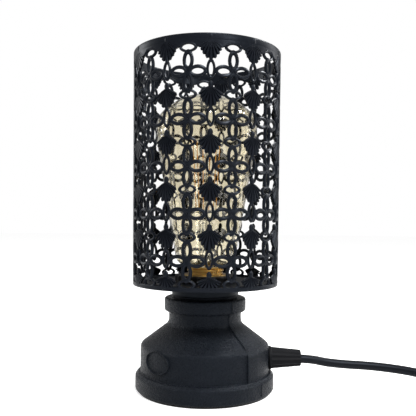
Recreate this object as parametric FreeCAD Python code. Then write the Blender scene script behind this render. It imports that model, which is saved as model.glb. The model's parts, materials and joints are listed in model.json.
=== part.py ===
import FreeCAD, Part
import math
import os

# Industrial pipe table lamp, in millimetres, +Z up, origin in the middle of the felt pad's underside.
# A cast bell reducer is the foot, a short pipe nipple the stem and a pierced metal cylinder the shade.
# Inside are a bayonet lampholder and a filament bulb. The cord leaves the foot towards +X.

V = FreeCAD.Vector
UP = V(0, 0, 1)
ALONG = V(1, 0, 0)
ACROSS = V(0, 1, 0)

# ---- foot: felt pad, cover plate and cast bell reducer ----
felt_thickness = 1.0
felt_diameter = 84.0
cover_thickness = 2.0
cover_clearance = 0.2
casting_wall = 4.5
big_band_diameter = 87.5
big_band_height = 10.8
bell_diameter = 81.3
bell_height = 16.8
cone_height = 13.4
neck_diameter = 46.0
neck_height = 7.5
mouth_band_diameter = 51.8
mouth_band_height = 8.5
band_edge_radius = 1.6
shoulder_radius = 9.0
neck_foot_radius = 5.0
cover_seat_width = 1.3
rib_width = 8.4
rib_rise = 0.9
rib_angle = 41.5
rib_count = 2
oval_width = 18.0
oval_height = 13.2
oval_line = 0.9
oval_rise = 0.45
oval_angle = -43.0

# ---- stem: the nipple screwed into the reducer's small end ----
nipple_diameter = 42.4
nipple_wall = 3.2
nipple_tail_diameter = 41.0
nipple_engagement = 11.5
nipple_step_gap = 1.5
nipple_height = 8.6
thread_clearance = 0.1
nipple_chamfer = 0.6

# ---- shade: pierced cylinder on a pan ----
shade_diameter = 92.0
shade_flare = 2.4
shade_height = 147.0
shade_wall_thickness = 1.6
shade_columns = 11
shade_row_pitch = 27.0
shade_first_row_below_top = 8.2
shade_first_column_angle = 2.8
shade_rows = 5
pan_thickness = 0.8
pan_recess = 0.6
pan_upstand = 8.6
pan_bend_radius = 1.2
pan_clearance = 0.1
flat_oval_length = 7.8
flat_oval_height = 3.2
flat_oval_lift = 0.3
pair_oval_length = 6.6
pair_oval_height = 3.3
pair_oval_offset = 7.6
tall_oval_height = 7.8
tall_oval_width = 3.0
tall_oval_lift = 1.2
mid_oval_height = 6.6
mid_oval_width = 2.8
mid_oval_offset = 6.4
oval_tip_share = 0.42
last_row_squeeze = 0.62
shell_width = 13.6
shell_height = 14.8
shell_rise = 0.5
shell_sink = 0.1

# corners of the two openings beside a shell's column, as shares of half the column pitch across and
# of half the row pitch up or down from the crossing of the ovals
opening_above = [
    (0.54, 0.93), (0.37, 0.73), (0.14, 0.51), (0.24, 0.30),
    (0.38, 0.21), (0.75, 0.25), (0.78, 0.61), (0.87, 0.75),
]
opening_below = [
    (0.76, 0.26), (0.40, 0.25), (0.24, 0.20), (0.13, 0.42),
    (0.36, 0.72), (0.60, 0.79), (0.86, 0.79), (0.78, 0.55),
]
# corners of half a shell, as shares of half its width and half its height
shell_half = [
    (0.0, 1.0), (0.26, 0.88), (0.34, 0.62), (0.78, 0.38),
    (1.0, 0.04), (0.86, -0.28), (0.58, -0.60), (0.24, -0.90), (0.0, -1.0),
]

# ---- lampholder ----
pin_diameter = 2.2
pin_span = 27.0
pin_clearance = 0.2
pins_above_skirt = 6.3
cap_diameter = 22.0
cap_clearance = 0.25
barrel_diameter = 28.6
barrel_above_pan = 5.0
barrel_flange_diameter = 34.4
barrel_flange_thickness = 2.0
barrel_skirt_diameter = 27.6
barrel_skirt_length = 8.0
barrel_upper_length = 14.6
slot_skin = 0.6
slot_turn = 14.0
bulb_press = 1.5
shade_ring_diameter = 39.0
shade_ring_height = 4.6
shade_ring_teeth = 24
shade_ring_tooth_depth = 0.7
shade_ring_edge = 0.8
fit_clearance = 0.1
holder_cap_diameter = 31.0
holder_cap_wall = 1.6
holder_cap_floor = 3.0
insert_diameter = 24.0
insert_height = 9.5
insert_below_cap_end = 4.0
wire_chamber_height = 4.5
wire_chamber_diameter = 20.0
plunger_spacing = 10.0
plunger_diameter = 4.0
plunger_collar_diameter = 5.0
plunger_collar_height = 1.1
plunger_clearance = 0.15
plunger_stop_gap = 0.2
plunger_floor = 2.0
spring_wire = 0.45
spring_turns = 3.5
terminal_screw_diameter = 3.0

# ---- bulb ----
bulb_height = 109.6
bulb_glass_thickness = 0.9
bulb_radius = 32.4
bulb_crown_radius = 42.0
bulb_crown_slope = 39.0
bulb_shoulder_radius = 16.0
bulb_taper_height = 82.5
bulb_taper_radius = 55.0
bulb_neck_radius = 18.5
bulb_neck_height = 2.3
bulb_neck_rounding = 5.0
bulb_end_radius = 10.4
bulb_end_height = 0.5
bulb_end_rounding = 1.0
cap_height = 26.0
cap_wall = 0.5
cap_bead_rise = 0.6
cap_bead_height = 1.4
pins_above_cap_end = 7.0
solder_height = 0.5
solder_diameter = 4.6
insulator_thickness = 2.2
glass_seat = 3.2
stem_diameter = 9.0
stem_height = 34.0
stem_flare_diameter = 16.0
mount_rod_diameter = 2.6
mount_rod_height = 48.0
hook_wire = 0.7
filament_wire = 0.6
filament_runs = 6
filament_radius_top = 9.0
filament_radius_low = 6.5
filament_length = 46.0

# ---- clamp: threaded tube, disc, washer and nut ----
tube_diameter = 9.8
tube_bore = 7.0
tube_below_nut = 2.0
clamp_disc_thickness = 2.5
clamp_disc_gap = 0.6
washer_diameter = 18.0
washer_thickness = 1.0
tube_nut_flats = 14.0
tube_nut_height = 5.0
earth_screw_radius = 22.0
earth_screw_diameter = 4.0
earth_screw_head = 7.5
earth_screw_head_height = 3.0

# ---- cord grip in the foot's side ----
cord_diameter = 5.4
cord_height = 19.5
cord_bore_clearance = 0.15
grip_thread_diameter = 10.0
grip_hole_clearance = 0.15
grip_flange_diameter = 14.7
grip_flange_thickness = 1.6
grip_spigot_diameter = 9.0
grip_spigot_length = 8.0
grip_cap_length = 18.7
grip_cap_root_diameter = 13.5
grip_cap_tip_diameter = 10.1
grip_cap_wall = 1.2
grip_cap_end = 3.5
grip_cap_ribs = 14
grip_rib_depth = 0.55
collet_length = 5.5
collet_slits = 4
locknut_flats = 12.0
locknut_height = 3.5
wire_diameter = 2.0

# ---- in-line switch ----
switch_length = 52.0
switch_width = 24.0
switch_height = 17.0
switch_wall = 1.8
switch_corner = 6.0
switch_edge = 2.0
rocker_length = 14.0
rocker_width = 8.6
rocker_clearance = 0.4
rocker_angle = 9.0
rocker_pivot_below_top = 2.8
rocker_pin_diameter = 1.8
switch_terminal_length = 9.0
switch_screw_diameter = 5.0
switch_screw_reach = 17.0

# ---- plug with three round pins ----
plug_width = 38.0
plug_depth = 26.0
plug_height = 31.0
plug_edge = 5.0
plug_sleeve_length = 20.0
plug_sleeve_root = 12.0
plug_sleeve_tip = 8.0
live_pin_diameter = 5.1
live_pin_length = 15.0
live_pin_spacing = 19.0
earth_pin_diameter = 7.1
earth_pin_length = 20.5
earth_pin_rise = 14.0
pin_root = 6.0
pin_line_below_axis = 7.0

# ---- coil of spare cord ----
coil_mean_diameter = 57.0
coil_columns = 3
coil_layers = 3
coil_gap = 6.0
tie_width = 7.0
tie_thickness = 1.0
tie_angle = 60.0


# ---------------------------------------------------------------- levels and places

foot_bottom = felt_thickness
band_top = foot_bottom + big_band_height
bell_top = band_top + bell_height
neck_foot = bell_top + cone_height
mouth_band_bottom = neck_foot + neck_height
foot_top = mouth_band_bottom + mouth_band_height
cover_seat = foot_bottom + cover_thickness

bell_radius = bell_diameter / 2
neck_radius = neck_diameter / 2
tail_radius = nipple_tail_diameter / 2
nipple_radius = nipple_diameter / 2
nipple_bottom = foot_top - nipple_engagement
nipple_shoulder = foot_top + nipple_step_gap
nipple_top = nipple_bottom + nipple_engagement + nipple_height

pan_bottom = nipple_top
pan_top = pan_bottom + pan_thickness
shade_bottom = pan_bottom - pan_recess
shade_top = shade_bottom + shade_height
shade_radius = shade_diameter / 2
shade_inner_radius = shade_radius - shade_wall_thickness
shade_slope = shade_flare / 2 / shade_height
first_row = shade_top - shade_first_row_below_top

barrel_radius = barrel_diameter / 2
barrel_top = pan_top + barrel_above_pan
flange_bottom = pan_bottom - barrel_flange_thickness
skirt_top = flange_bottom - barrel_upper_length + barrel_flange_thickness
skirt_bottom = skirt_top - barrel_skirt_length
holder_cap_top = skirt_top
holder_cap_radius = holder_cap_diameter / 2
insert_top = skirt_top - insert_below_cap_end
insert_bottom = insert_top - insert_height
chamber_bottom = insert_bottom - wire_chamber_height
holder_floor = chamber_bottom - holder_cap_floor

cap_radius = cap_diameter / 2
pins_height = skirt_top + pins_above_skirt
bulb_cap_bottom = pins_height - pins_above_cap_end
bulb_cap_top = bulb_cap_bottom + cap_height
plunger_tip = bulb_cap_bottom - solder_height
glass_top = bulb_cap_top + bulb_height

cord_radius = cord_diameter / 2
grip_axis = V(0, 0, cord_height)
bell_inner_radius = bell_radius - casting_wall
flange_face = bell_radius + fit_clearance
cap_face = flange_face + grip_flange_thickness
grip_tip = cap_face + grip_cap_length
locknut_corner = locknut_flats / math.sqrt(3)
locknut_face = math.sqrt(bell_inner_radius**2 - locknut_corner**2) - fit_clearance
neck_end = locknut_face - locknut_height - 1.0
cord_start = neck_end + 1.0

# the coil of spare cord lies on the table past the switch, and the plug lies beside the switch, behind it
coil_radius = coil_mean_diameter / 2
coil_half_width = coil_columns / 2 * cord_diameter
coil_outer_turn = coil_radius + coil_half_width - cord_radius
coil_height = coil_layers * cord_diameter
coil_outside = coil_radius + coil_half_width
coil_cover = math.sqrt(coil_outside**2 - coil_outer_turn**2)

# the route of the cord's first stretch, from inside the grip to the in-line switch
switch_near_end = V(200.0, -coil_outer_turn, switch_height / 2)
front_route = [
    V(cord_start, 0, cord_height),
    V(70.0, 0.0, cord_height),
    V(88.0, 0.0, 15.5),
    V(112.0, -2.6, 15.1),
    V(140.0, -16.0, 13.2),
    V(170.0, -32.5, 3.9),
    switch_near_end,
]
switch_middle = switch_near_end + V(switch_length / 2, 0, 0)
switch_far_end = switch_near_end + V(switch_length, 0, 0)
coil_centre = V(switch_far_end.x + coil_gap + coil_outside, 0, 0)
lead_end = V(coil_centre.x - coil_cover + cord_radius, -coil_outer_turn, 1.2 * cord_radius)
lead_route = [
    switch_far_end,
    switch_far_end + V(2.3 * cord_diameter, -0.2, -0.2 * cord_diameter),
    lead_end,
]
plug_rear = V(coil_centre.x - 1.5 * coil_outside, shade_radius - plug_width / 2, plug_height / 2)
tail_start = V(coil_centre.x - coil_cover + cord_radius, coil_outer_turn, coil_height - cord_radius)
tail_route = [
    tail_start,
    tail_start + V(-3.0 * cord_diameter, -0.7, 0.7),
    plug_rear + V(2.6 * cord_diameter, 1.1, -0.3),
    plug_rear,
]
plug_body_start = plug_rear.x - plug_sleeve_length
plug_axis = V(0, plug_rear.y, plug_rear.z)


# ---------------------------------------------------------------- helpers

made = []


def save(name, shape):
    shape.exportStep(f"parts/{name}.step")
    solids = shape.Solids
    made.append(name)
    print(f"{name:22s} {len(solids)} solid(s) {sum(s.Volume for s in solids) / 1000:9.3f} cm3")


def joined(shapes):
    whole = shapes[0]
    for other in shapes[1:]:
        whole = whole.fuse(other)
    return whole.removeSplitter()


def cylinder(radius, height, base, axis=UP):
    return Part.makeCylinder(radius, height, base, axis)


def tube(outer, inner, height, base, axis=UP):
    return cylinder(outer, height, base, axis).cut(cylinder(inner, height, base, axis))


def slab(low, high):
    size = high - low
    return Part.makeBox(size.x, size.y, size.z, low)


def rounded_outline(corners, place):
    """A closed outline of (a, b, radius) corners, each rounded; place puts (a, b) in space."""
    count = len(corners)
    cuts = []
    for i, (a, b, radius) in enumerate(corners):
        here = V(a, b, 0)
        back = V(*corners[i - 1][:2], 0) - here
        ahead = V(*corners[(i + 1) % count][:2], 0) - here
        if radius <= 0:
            cuts.append((here, None, here))
            continue
        half = back.getAngle(ahead) / 2
        back_share = 0.98 if corners[i - 1][2] <= 0 else 0.49
        ahead_share = 0.98 if corners[(i + 1) % count][2] <= 0 else 0.49
        reach = min(radius / math.tan(half), back_share * back.Length, ahead_share * ahead.Length)
        back.normalize()
        ahead.normalize()
        toward = (back + ahead).normalize()
        kept = reach * math.tan(half)
        middle = here + toward * (reach / math.cos(half) - kept)
        cuts.append((here + back * reach, middle, here + ahead * reach))
    edges = []
    for i, (start, middle, end) in enumerate(cuts):
        if middle is not None:
            edges.append(Part.Arc(place(start), place(middle), place(end)).toShape())
        following = cuts[(i + 1) % count][0]
        if end.distanceToPoint(following) > 1e-6:
            edges.append(Part.LineSegment(place(end), place(following)).toShape())
    return Part.Face(Part.Wire(edges))


def turned(corners, angle=360.0):
    """Revolves an outline of (radius, height, rounding) corners about Z."""
    face = rounded_outline(corners, lambda p: V(p.x, 0, p.y))
    return face.revolve(V(0, 0, 0), UP, angle)


def turned_along(corners, axis_point):
    """Revolves an outline of (x, radius, rounding) corners about a line along X through axis_point."""
    face = rounded_outline(corners, lambda p: V(p.x, axis_point.y, axis_point.z + p.y))
    return face.revolve(axis_point, ALONG, 360)


def hexagon(flats, height, base, axis=UP):
    """A hexagonal prism with the given size across its flats; two of them face up when it lies along X."""
    corner = flats / math.sqrt(3)
    points = []
    for k in range(7):
        angle = math.radians(60 * k + 30)
        points.append(V(corner * math.cos(angle), corner * math.sin(angle), 0))
    prism = Part.Face(Part.makePolygon(points)).extrude(V(0, 0, height))
    prism.Placement = FreeCAD.Placement(base, FreeCAD.Rotation(UP, axis))
    return prism


def star_wire(outer, inner, teeth, place):
    """A ribbed outline with the given number of teeth between two radii."""
    points = []
    for k in range(2 * teeth):
        radius = outer if k % 2 == 0 else inner
        angle = math.pi * k / teeth
        points.append(place(radius * math.cos(angle), radius * math.sin(angle)))
    return Part.makePolygon(points + [points[0]])


def arc_radius(start, corner, end):
    """The radius of the largest fair arc at a route's corner, and half the turn there."""
    back = start - corner
    ahead = end - corner
    turn = math.pi - back.getAngle(ahead)
    return 0.45 * min(back.Length, ahead.Length) / math.tan(turn / 2), turn


def route_wire(route):
    """Straight runs joined by tangent arcs, each as large as its two runs allow."""
    edges = []
    radii = []
    at = route[0]
    for i in range(1, len(route) - 1):
        corner = route[i]
        radius, turn = arc_radius(route[i - 1], corner, route[i + 1])
        radii.append(radius)
        reach = radius * math.tan(turn / 2)
        back = (route[i - 1] - corner).normalize()
        ahead = (route[i + 1] - corner).normalize()
        start = corner + back * reach
        end = corner + ahead * reach
        toward = (back + ahead).normalize()
        middle = corner + toward * (radius / math.cos(turn / 2) - radius)
        edges.append(Part.LineSegment(at, start).toShape())
        edges.append(Part.Arc(start, middle, end).toShape())
        at = end
    edges.append(Part.LineSegment(at, route[-1]).toShape())
    return Part.Wire(edges), radii


def cord_tube(name, route, diameter):
    """A round tube along a route; it prints the arcs' radii and compares its volume with its length."""
    wire, radii = route_wire(route)
    section = Part.Wire(Part.makeCircle(diameter / 2, route[0], route[1] - route[0]))
    solid = wire.makePipeShell([section], True, False)
    expected = math.pi * diameter**2 / 4 * wire.Length
    listed = ", ".join(f"{r:.1f}" for r in radii)
    ratio = solid.Volume / expected
    print(f"{name}: length {wire.Length:.1f}, arc radii {listed}, volume ratio {ratio:.4f}")
    return solid


# ---------------------------------------------------------------- foot

def bell_outline(extra):
    """The outside corners of the reducer from its big end up to its mouth, grown by extra."""
    return [
        (big_band_diameter / 2 + extra, foot_bottom, band_edge_radius),
        (big_band_diameter / 2 + extra, band_top, band_edge_radius),
        (bell_radius + extra, band_top, 0.6),
        (bell_radius + extra, bell_top, shoulder_radius),
        (neck_radius + extra, neck_foot, neck_foot_radius),
        (neck_radius + extra, mouth_band_bottom, 0.8),
        (mouth_band_diameter / 2 + extra, mouth_band_bottom, band_edge_radius),
        (mouth_band_diameter / 2 + extra, foot_top, band_edge_radius),
    ]


# the inside of the cone runs parallel to its outside, one casting wall away from it
cone_slope = cone_height / (bell_radius - neck_radius)
cone_drop = casting_wall * math.sqrt(1 + cone_slope**2)
core_radius = neck_radius - casting_wall + 0.5


def inner_cone_height(radius):
    """The height at which the cone's inside has the given radius."""
    return bell_top + (bell_radius - radius) * cone_slope - cone_drop


def inner_cone_radius(height):
    """The radius of the cone's inside at the given height."""
    return bell_radius - (height + cone_drop - bell_top) / cone_slope


def angled(shape, angle):
    """Turns a shape made at the front, -Y, by an angle towards +X."""
    turned_shape = shape.copy()
    turned_shape.rotate(V(0, 0, 0), UP, angle)
    return turned_shape


def make_reducer():
    seat_radius = bell_inner_radius + cover_seat_width
    inside = [
        (tail_radius + thread_clearance, foot_top, 0),
        (tail_radius + thread_clearance, nipple_bottom, 0),
        (core_radius, nipple_bottom, 0),
        (core_radius, inner_cone_height(core_radius), 2.0),
        (bell_inner_radius, inner_cone_height(bell_inner_radius), 6.0),
        (bell_inner_radius, cover_seat, 0),
        (seat_radius, cover_seat, 0),
        (seat_radius, foot_bottom, 0),
    ]
    body = turned(bell_outline(0) + inside)
    rib_outline = [
        (bell_radius - 2.0, band_top - 2.0, 0),
        (bell_radius + rib_rise, band_top - 2.0, 0),
        (bell_radius + rib_rise, bell_top - 0.5, 4.0),
        (bell_radius - 5.0, bell_top + 5.0 * cone_slope - 0.2, 0),
        (bell_radius - 7.0, bell_top, 0),
    ]
    rib = turned(rib_outline).common(
        slab(V(-rib_width / 2, -big_band_diameter, 0), V(rib_width / 2, 0, foot_top))
    )
    ribs = [angled(rib, rib_angle + 360.0 / rib_count * k) for k in range(rib_count)]
    ellipses = []
    for trim in (0, oval_line):
        outline = Part.Ellipse(V(0, 0, 0), oval_width / 2 - trim, oval_height / 2 - trim)
        face = Part.Face(Part.Wire(outline.toShape()))
        face.rotate(V(0, 0, 0), ALONG, 90)
        face.translate(V(0, 0, band_top + bell_height / 2 + 1.2))
        ellipses.append(face.extrude(V(0, -big_band_diameter, 0)))
    raised_skin = turned([(1.0, foot_bottom, 0)] + bell_outline(oval_rise) + [(1.0, foot_top, 0)])
    casting_core = cylinder(bell_radius - casting_wall / 2, foot_top, V(0, 0, 0))
    oval = ellipses[0].cut(ellipses[1]).common(raised_skin.cut(casting_core))
    oval = angled(oval, oval_angle)
    reducer = joined([body] + ribs + [oval])
    hole_start = V(bell_inner_radius - casting_wall, 0, cord_height)
    hole_radius = grip_thread_diameter / 2 + grip_hole_clearance
    return reducer.cut(cylinder(hole_radius, casting_wall * 3, hole_start, ALONG))


def make_foot():
    save("base_reducer", make_reducer())
    save("felt_pad", cylinder(felt_diameter / 2, felt_thickness, V(0, 0, 0)))
    cover_radius = bell_inner_radius + cover_seat_width - cover_clearance
    save("base_cover_plate", cylinder(cover_radius, cover_thickness, V(0, 0, foot_bottom)))
    bore_radius = nipple_radius - nipple_wall
    nipple = turned([
        (bore_radius, nipple_bottom, 0),
        (tail_radius, nipple_bottom, 0),
        (tail_radius, nipple_shoulder, 0),
        (nipple_radius, nipple_shoulder, nipple_chamfer),
        (nipple_radius, nipple_top, 0),
        (bore_radius, nipple_top, 0),
    ])
    save("pipe_nipple", nipple)


# ---------------------------------------------------------------- shade

column_angle = 360.0 / shade_columns


def wall_radius(height):
    """The radius of the shade's outside, which widens a little towards its top."""
    return shade_radius + (height - shade_bottom) * shade_slope


def pierce(points, angle):
    """A radial punch through the shade wall, from (across, height) corners, at an angle from the front."""
    start = 5.0 - wall_radius(points[0][1])
    corners = [V(u, start, z) for u, z in points]
    depth = shell_rise + 7.0
    punch = Part.Face(Part.makePolygon(corners + [corners[0]])).extrude(V(0, -depth, 0))
    return angled(punch, angle)


def flat_oval(length, height, at):
    """The six corners of a lens lying flat."""
    half = length / 2
    lift = height / 2
    tip = oval_tip_share * half
    low, high = at - lift, at + lift
    return [(-half, at), (-tip, low), (tip, low), (half, at), (tip, high), (-tip, high)]


def tall_oval(height, width, at):
    """The corners of a lens standing up."""
    return [(z, u + at) for u, z in flat_oval(height, width, 0)]


def shade_opening(side, shares, drop, crossing):
    """The corners of an opening beside the shells' column; drop is minus one for the one below."""
    half_pitch = wall_radius(crossing) * math.radians(column_angle / 2)
    return [(side * a * half_pitch, crossing + drop * b * shade_row_pitch / 2) for a, b in shares]


def make_shell_boss(at):
    """A scallop that stands out from the sheet: a narrow neck above, widest in its middle, a point below."""
    half = []
    for a, b in shell_half:
        across = a * shell_width / 2
        height = at + b * shell_height / 2
        out = math.sqrt(wall_radius(height)**2 - across**2) - shell_sink
        half.append(V(across, -out, height))
    rim = half + [V(-p.x, p.y, p.z) for p in half[-2:0:-1]]
    crown_height = at + 0.1 * shell_height
    crown = V(0, -wall_radius(crown_height) - shell_rise, crown_height)
    root = V(0, shade_wall_thickness / 2 - wall_radius(crown_height), crown_height)
    faces = []
    for corner, following in zip(rim, rim[1:] + rim[:1]):
        for peak in (crown, root):
            faces.append(Part.Face(Part.makePolygon([corner, following, peak, corner])))
    shell = Part.Shell(faces)
    shell.sewShape()
    return Part.Solid(shell)


def make_shade_sector():
    """One column of the shade, centred on the front, with its shells and openings."""
    sector = turned([
        (shade_inner_radius, shade_bottom, 0),
        (shade_radius, shade_bottom, 0),
        (wall_radius(shade_top), shade_top, 0),
        (wall_radius(shade_top) - shade_wall_thickness, shade_top, 0),
    ])
    half = column_angle / 2
    reach = 2 * shade_radius
    edge = reach * math.tan(math.radians(half))
    wedge_corners = [V(0, 0, 0), V(-edge, -reach, 0), V(edge, -reach, 0), V(0, 0, 0)]
    wedge = Part.Face(Part.makePolygon(wedge_corners)).extrude(V(0, 0, shade_top + 1))
    sector = sector.common(wedge)
    shells = []
    punches = []
    for row in range(shade_rows):
        level = first_row - row * shade_row_pitch
        crossing = level - shade_row_pitch / 2
        last = row == shade_rows - 1
        pair_angle = math.degrees(pair_oval_offset / wall_radius(crossing))
        shells.append(make_shell_boss(level))
        punches.append(pierce(tall_oval(tall_oval_height, tall_oval_width, crossing + tall_oval_lift), 0))
        for side in (-1, 1):
            flat = flat_oval(flat_oval_length, flat_oval_height, level + flat_oval_lift)
            punches.append(pierce(flat, side * half))
            pair = flat_oval(pair_oval_length, pair_oval_height, crossing)
            punches.append(pierce(pair, side * pair_angle))
            above = crossing + mid_oval_offset
            punches.append(pierce(tall_oval(mid_oval_height, mid_oval_width, above), side * half))
            if not last:
                below = crossing - mid_oval_offset
                punches.append(pierce(tall_oval(mid_oval_height, mid_oval_width, below), side * half))
            squeeze = last_row_squeeze if last else 1.0
            for shares, drop in ((opening_above, 1), (opening_below, -squeeze)):
                punches.append(pierce(shade_opening(side, shares, drop, crossing), 0))
    return sector.fuse(shells).cut(punches)


def on_wedge_face(face):
    """Whether a face is one of the two flat cuts that bound a sector."""
    if not isinstance(face.Surface, Part.Plane):
        return False
    normal = face.Surface.Axis
    centre = face.CenterOfMass
    angle = math.degrees(math.atan2(centre.x, -centre.y))
    at_edge = abs(abs(angle) - column_angle / 2) < 0.01
    return at_edge and abs(normal.z) < 1e-6 and abs(normal.x * centre.x + normal.y * centre.y) < 1e-4


def make_shade_wall():
    """The sector's faces are repeated round the shade and sewn, so that it is one sheet."""
    kept = Part.Compound([f for f in make_shade_sector().Faces if not on_wedge_face(f)])
    copies = [angled(kept, shade_first_column_angle + column_angle * k) for k in range(shade_columns)]
    sheet = Part.Shell([face for copy in copies for face in copy.Faces])
    sheet.sewShape()
    return Part.Solid(sheet)


def make_shade():
    save("shade_wall", make_shade_wall())
    pan_radius = shade_inner_radius - pan_clearance
    hole_radius = barrel_radius + 4 * fit_clearance
    pan = turned([
        (hole_radius, pan_bottom, 0),
        (pan_radius, pan_bottom, pan_bend_radius + pan_thickness),
        (pan_radius, pan_bottom + pan_upstand, 0),
        (pan_radius - pan_thickness, pan_bottom + pan_upstand, 0),
        (pan_radius - pan_thickness, pan_top, pan_bend_radius),
        (hole_radius, pan_top, 0),
    ])
    save("shade_pan", pan)


# ---------------------------------------------------------------- lampholder

slot_half = pin_diameter / 2 + pin_clearance


def slot_piece(angle_low, angle_high, low, high):
    """A ring segment that cuts one leg of a bayonet slot into the barrel."""
    inner = cap_radius - 1.0
    outer = barrel_radius - slot_skin
    face = Part.Face(Part.makePolygon([
        V(inner, 0, low), V(outer, 0, low), V(outer, 0, high), V(inner, 0, high), V(inner, 0, low)
    ]))
    face.rotate(V(0, 0, 0), UP, angle_low)
    return face.revolve(V(0, 0, 0), UP, angle_high - angle_low)


def make_barrel():
    bore = cap_radius + cap_clearance
    skirt_radius = barrel_skirt_diameter / 2
    skirt_bore = insert_diameter / 2 + fit_clearance
    body = turned([
        (bore, insert_top + 1.2, 0),
        (skirt_bore, insert_top + 1.2, 0),
        (skirt_bore, skirt_bottom, 0),
        (skirt_radius, skirt_bottom, 0),
        (skirt_radius, skirt_top, 0),
        (barrel_radius, skirt_top, 0),
        (barrel_radius, flange_bottom, 0),
        (barrel_flange_diameter / 2, flange_bottom, 0),
        (barrel_flange_diameter / 2, pan_bottom, 0),
        (barrel_radius, pan_bottom, 0),
        (barrel_radius, barrel_top, 0.6),
        (bore, barrel_top, 0.6),
    ])
    half_width = math.degrees(slot_half / cap_radius)
    pressed = pins_height - bulb_press - slot_half
    cuts = []
    for side in (0, 180):
        start = side - half_width
        cuts.append(slot_piece(start - slot_turn, side + half_width - slot_turn, pressed, barrel_top + 1))
        cuts.append(slot_piece(start - slot_turn, side + half_width, pressed, pressed + 2 * slot_half))
        cuts.append(slot_piece(start, side + half_width, pressed, pins_height + pin_diameter / 2 + 0.05))
    return body.cut(cuts)


def make_shade_ring():
    """A knurled ring that narrows a little towards its top edge."""
    outer = shade_ring_diameter / 2
    heights = (pan_top, pan_top + shade_ring_height - shade_ring_edge, pan_top + shade_ring_height)
    wires = []
    for height, radius in zip(heights, (outer, outer, outer - shade_ring_edge)):
        place = lambda x, y, z=height: V(x, y, z)
        wires.append(star_wire(radius, radius - shade_ring_tooth_depth, shade_ring_teeth, place))
    ring = Part.makeLoft(wires, True, True)
    return ring.cut(cylinder(barrel_radius + fit_clearance, shade_ring_height, V(0, 0, pan_top)))


def make_holder_cap():
    inner = barrel_skirt_diameter / 2 + fit_clearance
    return turned([
        (tube_diameter / 2 + fit_clearance, holder_floor, 0),
        (holder_cap_radius, holder_floor, 3.0),
        (holder_cap_radius, holder_cap_top, 0.5),
        (inner, holder_cap_top, 0),
        (inner, skirt_bottom, 0),
        (insert_diameter / 2 + fit_clearance, skirt_bottom, 0),
        (insert_diameter / 2 + fit_clearance, insert_bottom, 0),
        (wire_chamber_diameter / 2, insert_bottom, 0),
        (wire_chamber_diameter / 2, chamber_bottom, 0),
        (tube_diameter / 2 + fit_clearance, chamber_bottom, 0),
    ])


collar_top = insert_top - 2.5 - plunger_stop_gap
spring_bottom = insert_bottom + plunger_floor
spring_top = collar_top - plunger_collar_height


def plunger_places():
    return [V(side * plunger_spacing / 2, 0, 0) for side in (-1, 1)]


def make_insert():
    block = cylinder(insert_diameter / 2, insert_height, V(0, 0, insert_bottom))
    bores = []
    for place in plunger_places():
        foot = place + V(0, 0, spring_bottom)
        narrow = plunger_diameter / 2 + plunger_clearance
        wide = plunger_collar_diameter / 2 + plunger_clearance
        bores.append(cylinder(narrow, insert_height, foot))
        bores.append(cylinder(wide, collar_top + plunger_stop_gap - spring_bottom, foot))
    for side in (-1, 1):
        screw_place = V(0, side * 7.5, insert_bottom)
        bores.append(cylinder(terminal_screw_diameter / 2 + fit_clearance, 4.0, screw_place))
    return block.cut(bores)


def make_plunger(place):
    radius = plunger_diameter / 2
    plunger = turned([
        (0, spring_top, 0),
        (plunger_collar_diameter / 2, spring_top, 0),
        (plunger_collar_diameter / 2, collar_top, 0),
        (radius, collar_top, 0),
        (radius, plunger_tip, 1.4),
        (0, plunger_tip, 0),
    ])
    plunger.translate(place)
    return plunger


def make_spring(place):
    height = spring_top - spring_bottom - spring_wire - 2 * fit_clearance
    radius = plunger_diameter / 2 - 0.2
    helix = Part.makeHelix(height / spring_turns, height, radius)
    half = spring_wire / 2
    signs = [(-1, -1), (1, -1), (1, 1), (-1, 1), (-1, -1)]
    section = Part.makePolygon([V(radius + a * half, 0, b * half) for a, b in signs])
    spring = Part.Wire(helix).makePipeShell([section], True, True)
    spring.translate(place + V(0, 0, spring_bottom + half + fit_clearance))
    return spring


def make_lampholder():
    save("holder_barrel", make_barrel())
    save("holder_cap", make_holder_cap())
    save("holder_insert", make_insert())
    save("shade_ring", make_shade_ring())
    save("contact_plungers", Part.Compound([make_plunger(p) for p in plunger_places()]))
    save("plunger_springs", Part.Compound([make_spring(p) for p in plunger_places()]))
    screws = []
    for side in (-1, 1):
        at = V(0, side * 7.5, insert_bottom)
        head = cylinder(terminal_screw_diameter * 0.8, 1.6, at - V(0, 0, 1.6))
        screws.append(joined([head, cylinder(terminal_screw_diameter / 2, 3.8, at)]))
    save("terminal_screws", Part.Compound(screws))


# ---------------------------------------------------------------- bulb

glass_bottom = bulb_cap_top - glass_seat


def glass_corners(inset):
    """The bulb's outline from its crown down to its end, moved in by inset."""
    top = glass_top - inset
    radius = bulb_radius - inset
    slope = math.radians(bulb_crown_slope)
    crown_corner = (bulb_crown_radius - inset) * math.tan(slope / 2)
    shoulder = top - (radius - crown_corner) * math.tan(slope)
    return [
        (0, top, 0),
        (crown_corner, top, bulb_crown_radius - inset),
        (radius, shoulder, bulb_shoulder_radius - inset),
        (radius, bulb_cap_top + bulb_taper_height, bulb_taper_radius),
        (bulb_neck_radius - inset, bulb_cap_top + bulb_neck_height + inset / 2, bulb_neck_rounding - inset),
        (bulb_end_radius - inset, bulb_cap_top + bulb_end_height + inset, bulb_end_rounding),
        (bulb_end_radius - inset, glass_bottom + inset, 0),
    ]


def make_glass():
    """The glass as one wall, with a lip at its end that the stem's flare is sealed to."""
    outside = glass_corners(0)
    inside = glass_corners(bulb_glass_thickness)
    lip_radius = stem_flare_diameter / 2 - 1.0
    lip = [(lip_radius, glass_bottom, 0), (lip_radius, glass_bottom + bulb_glass_thickness, 0)]
    return turned(outside + lip + inside[::-1])


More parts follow.
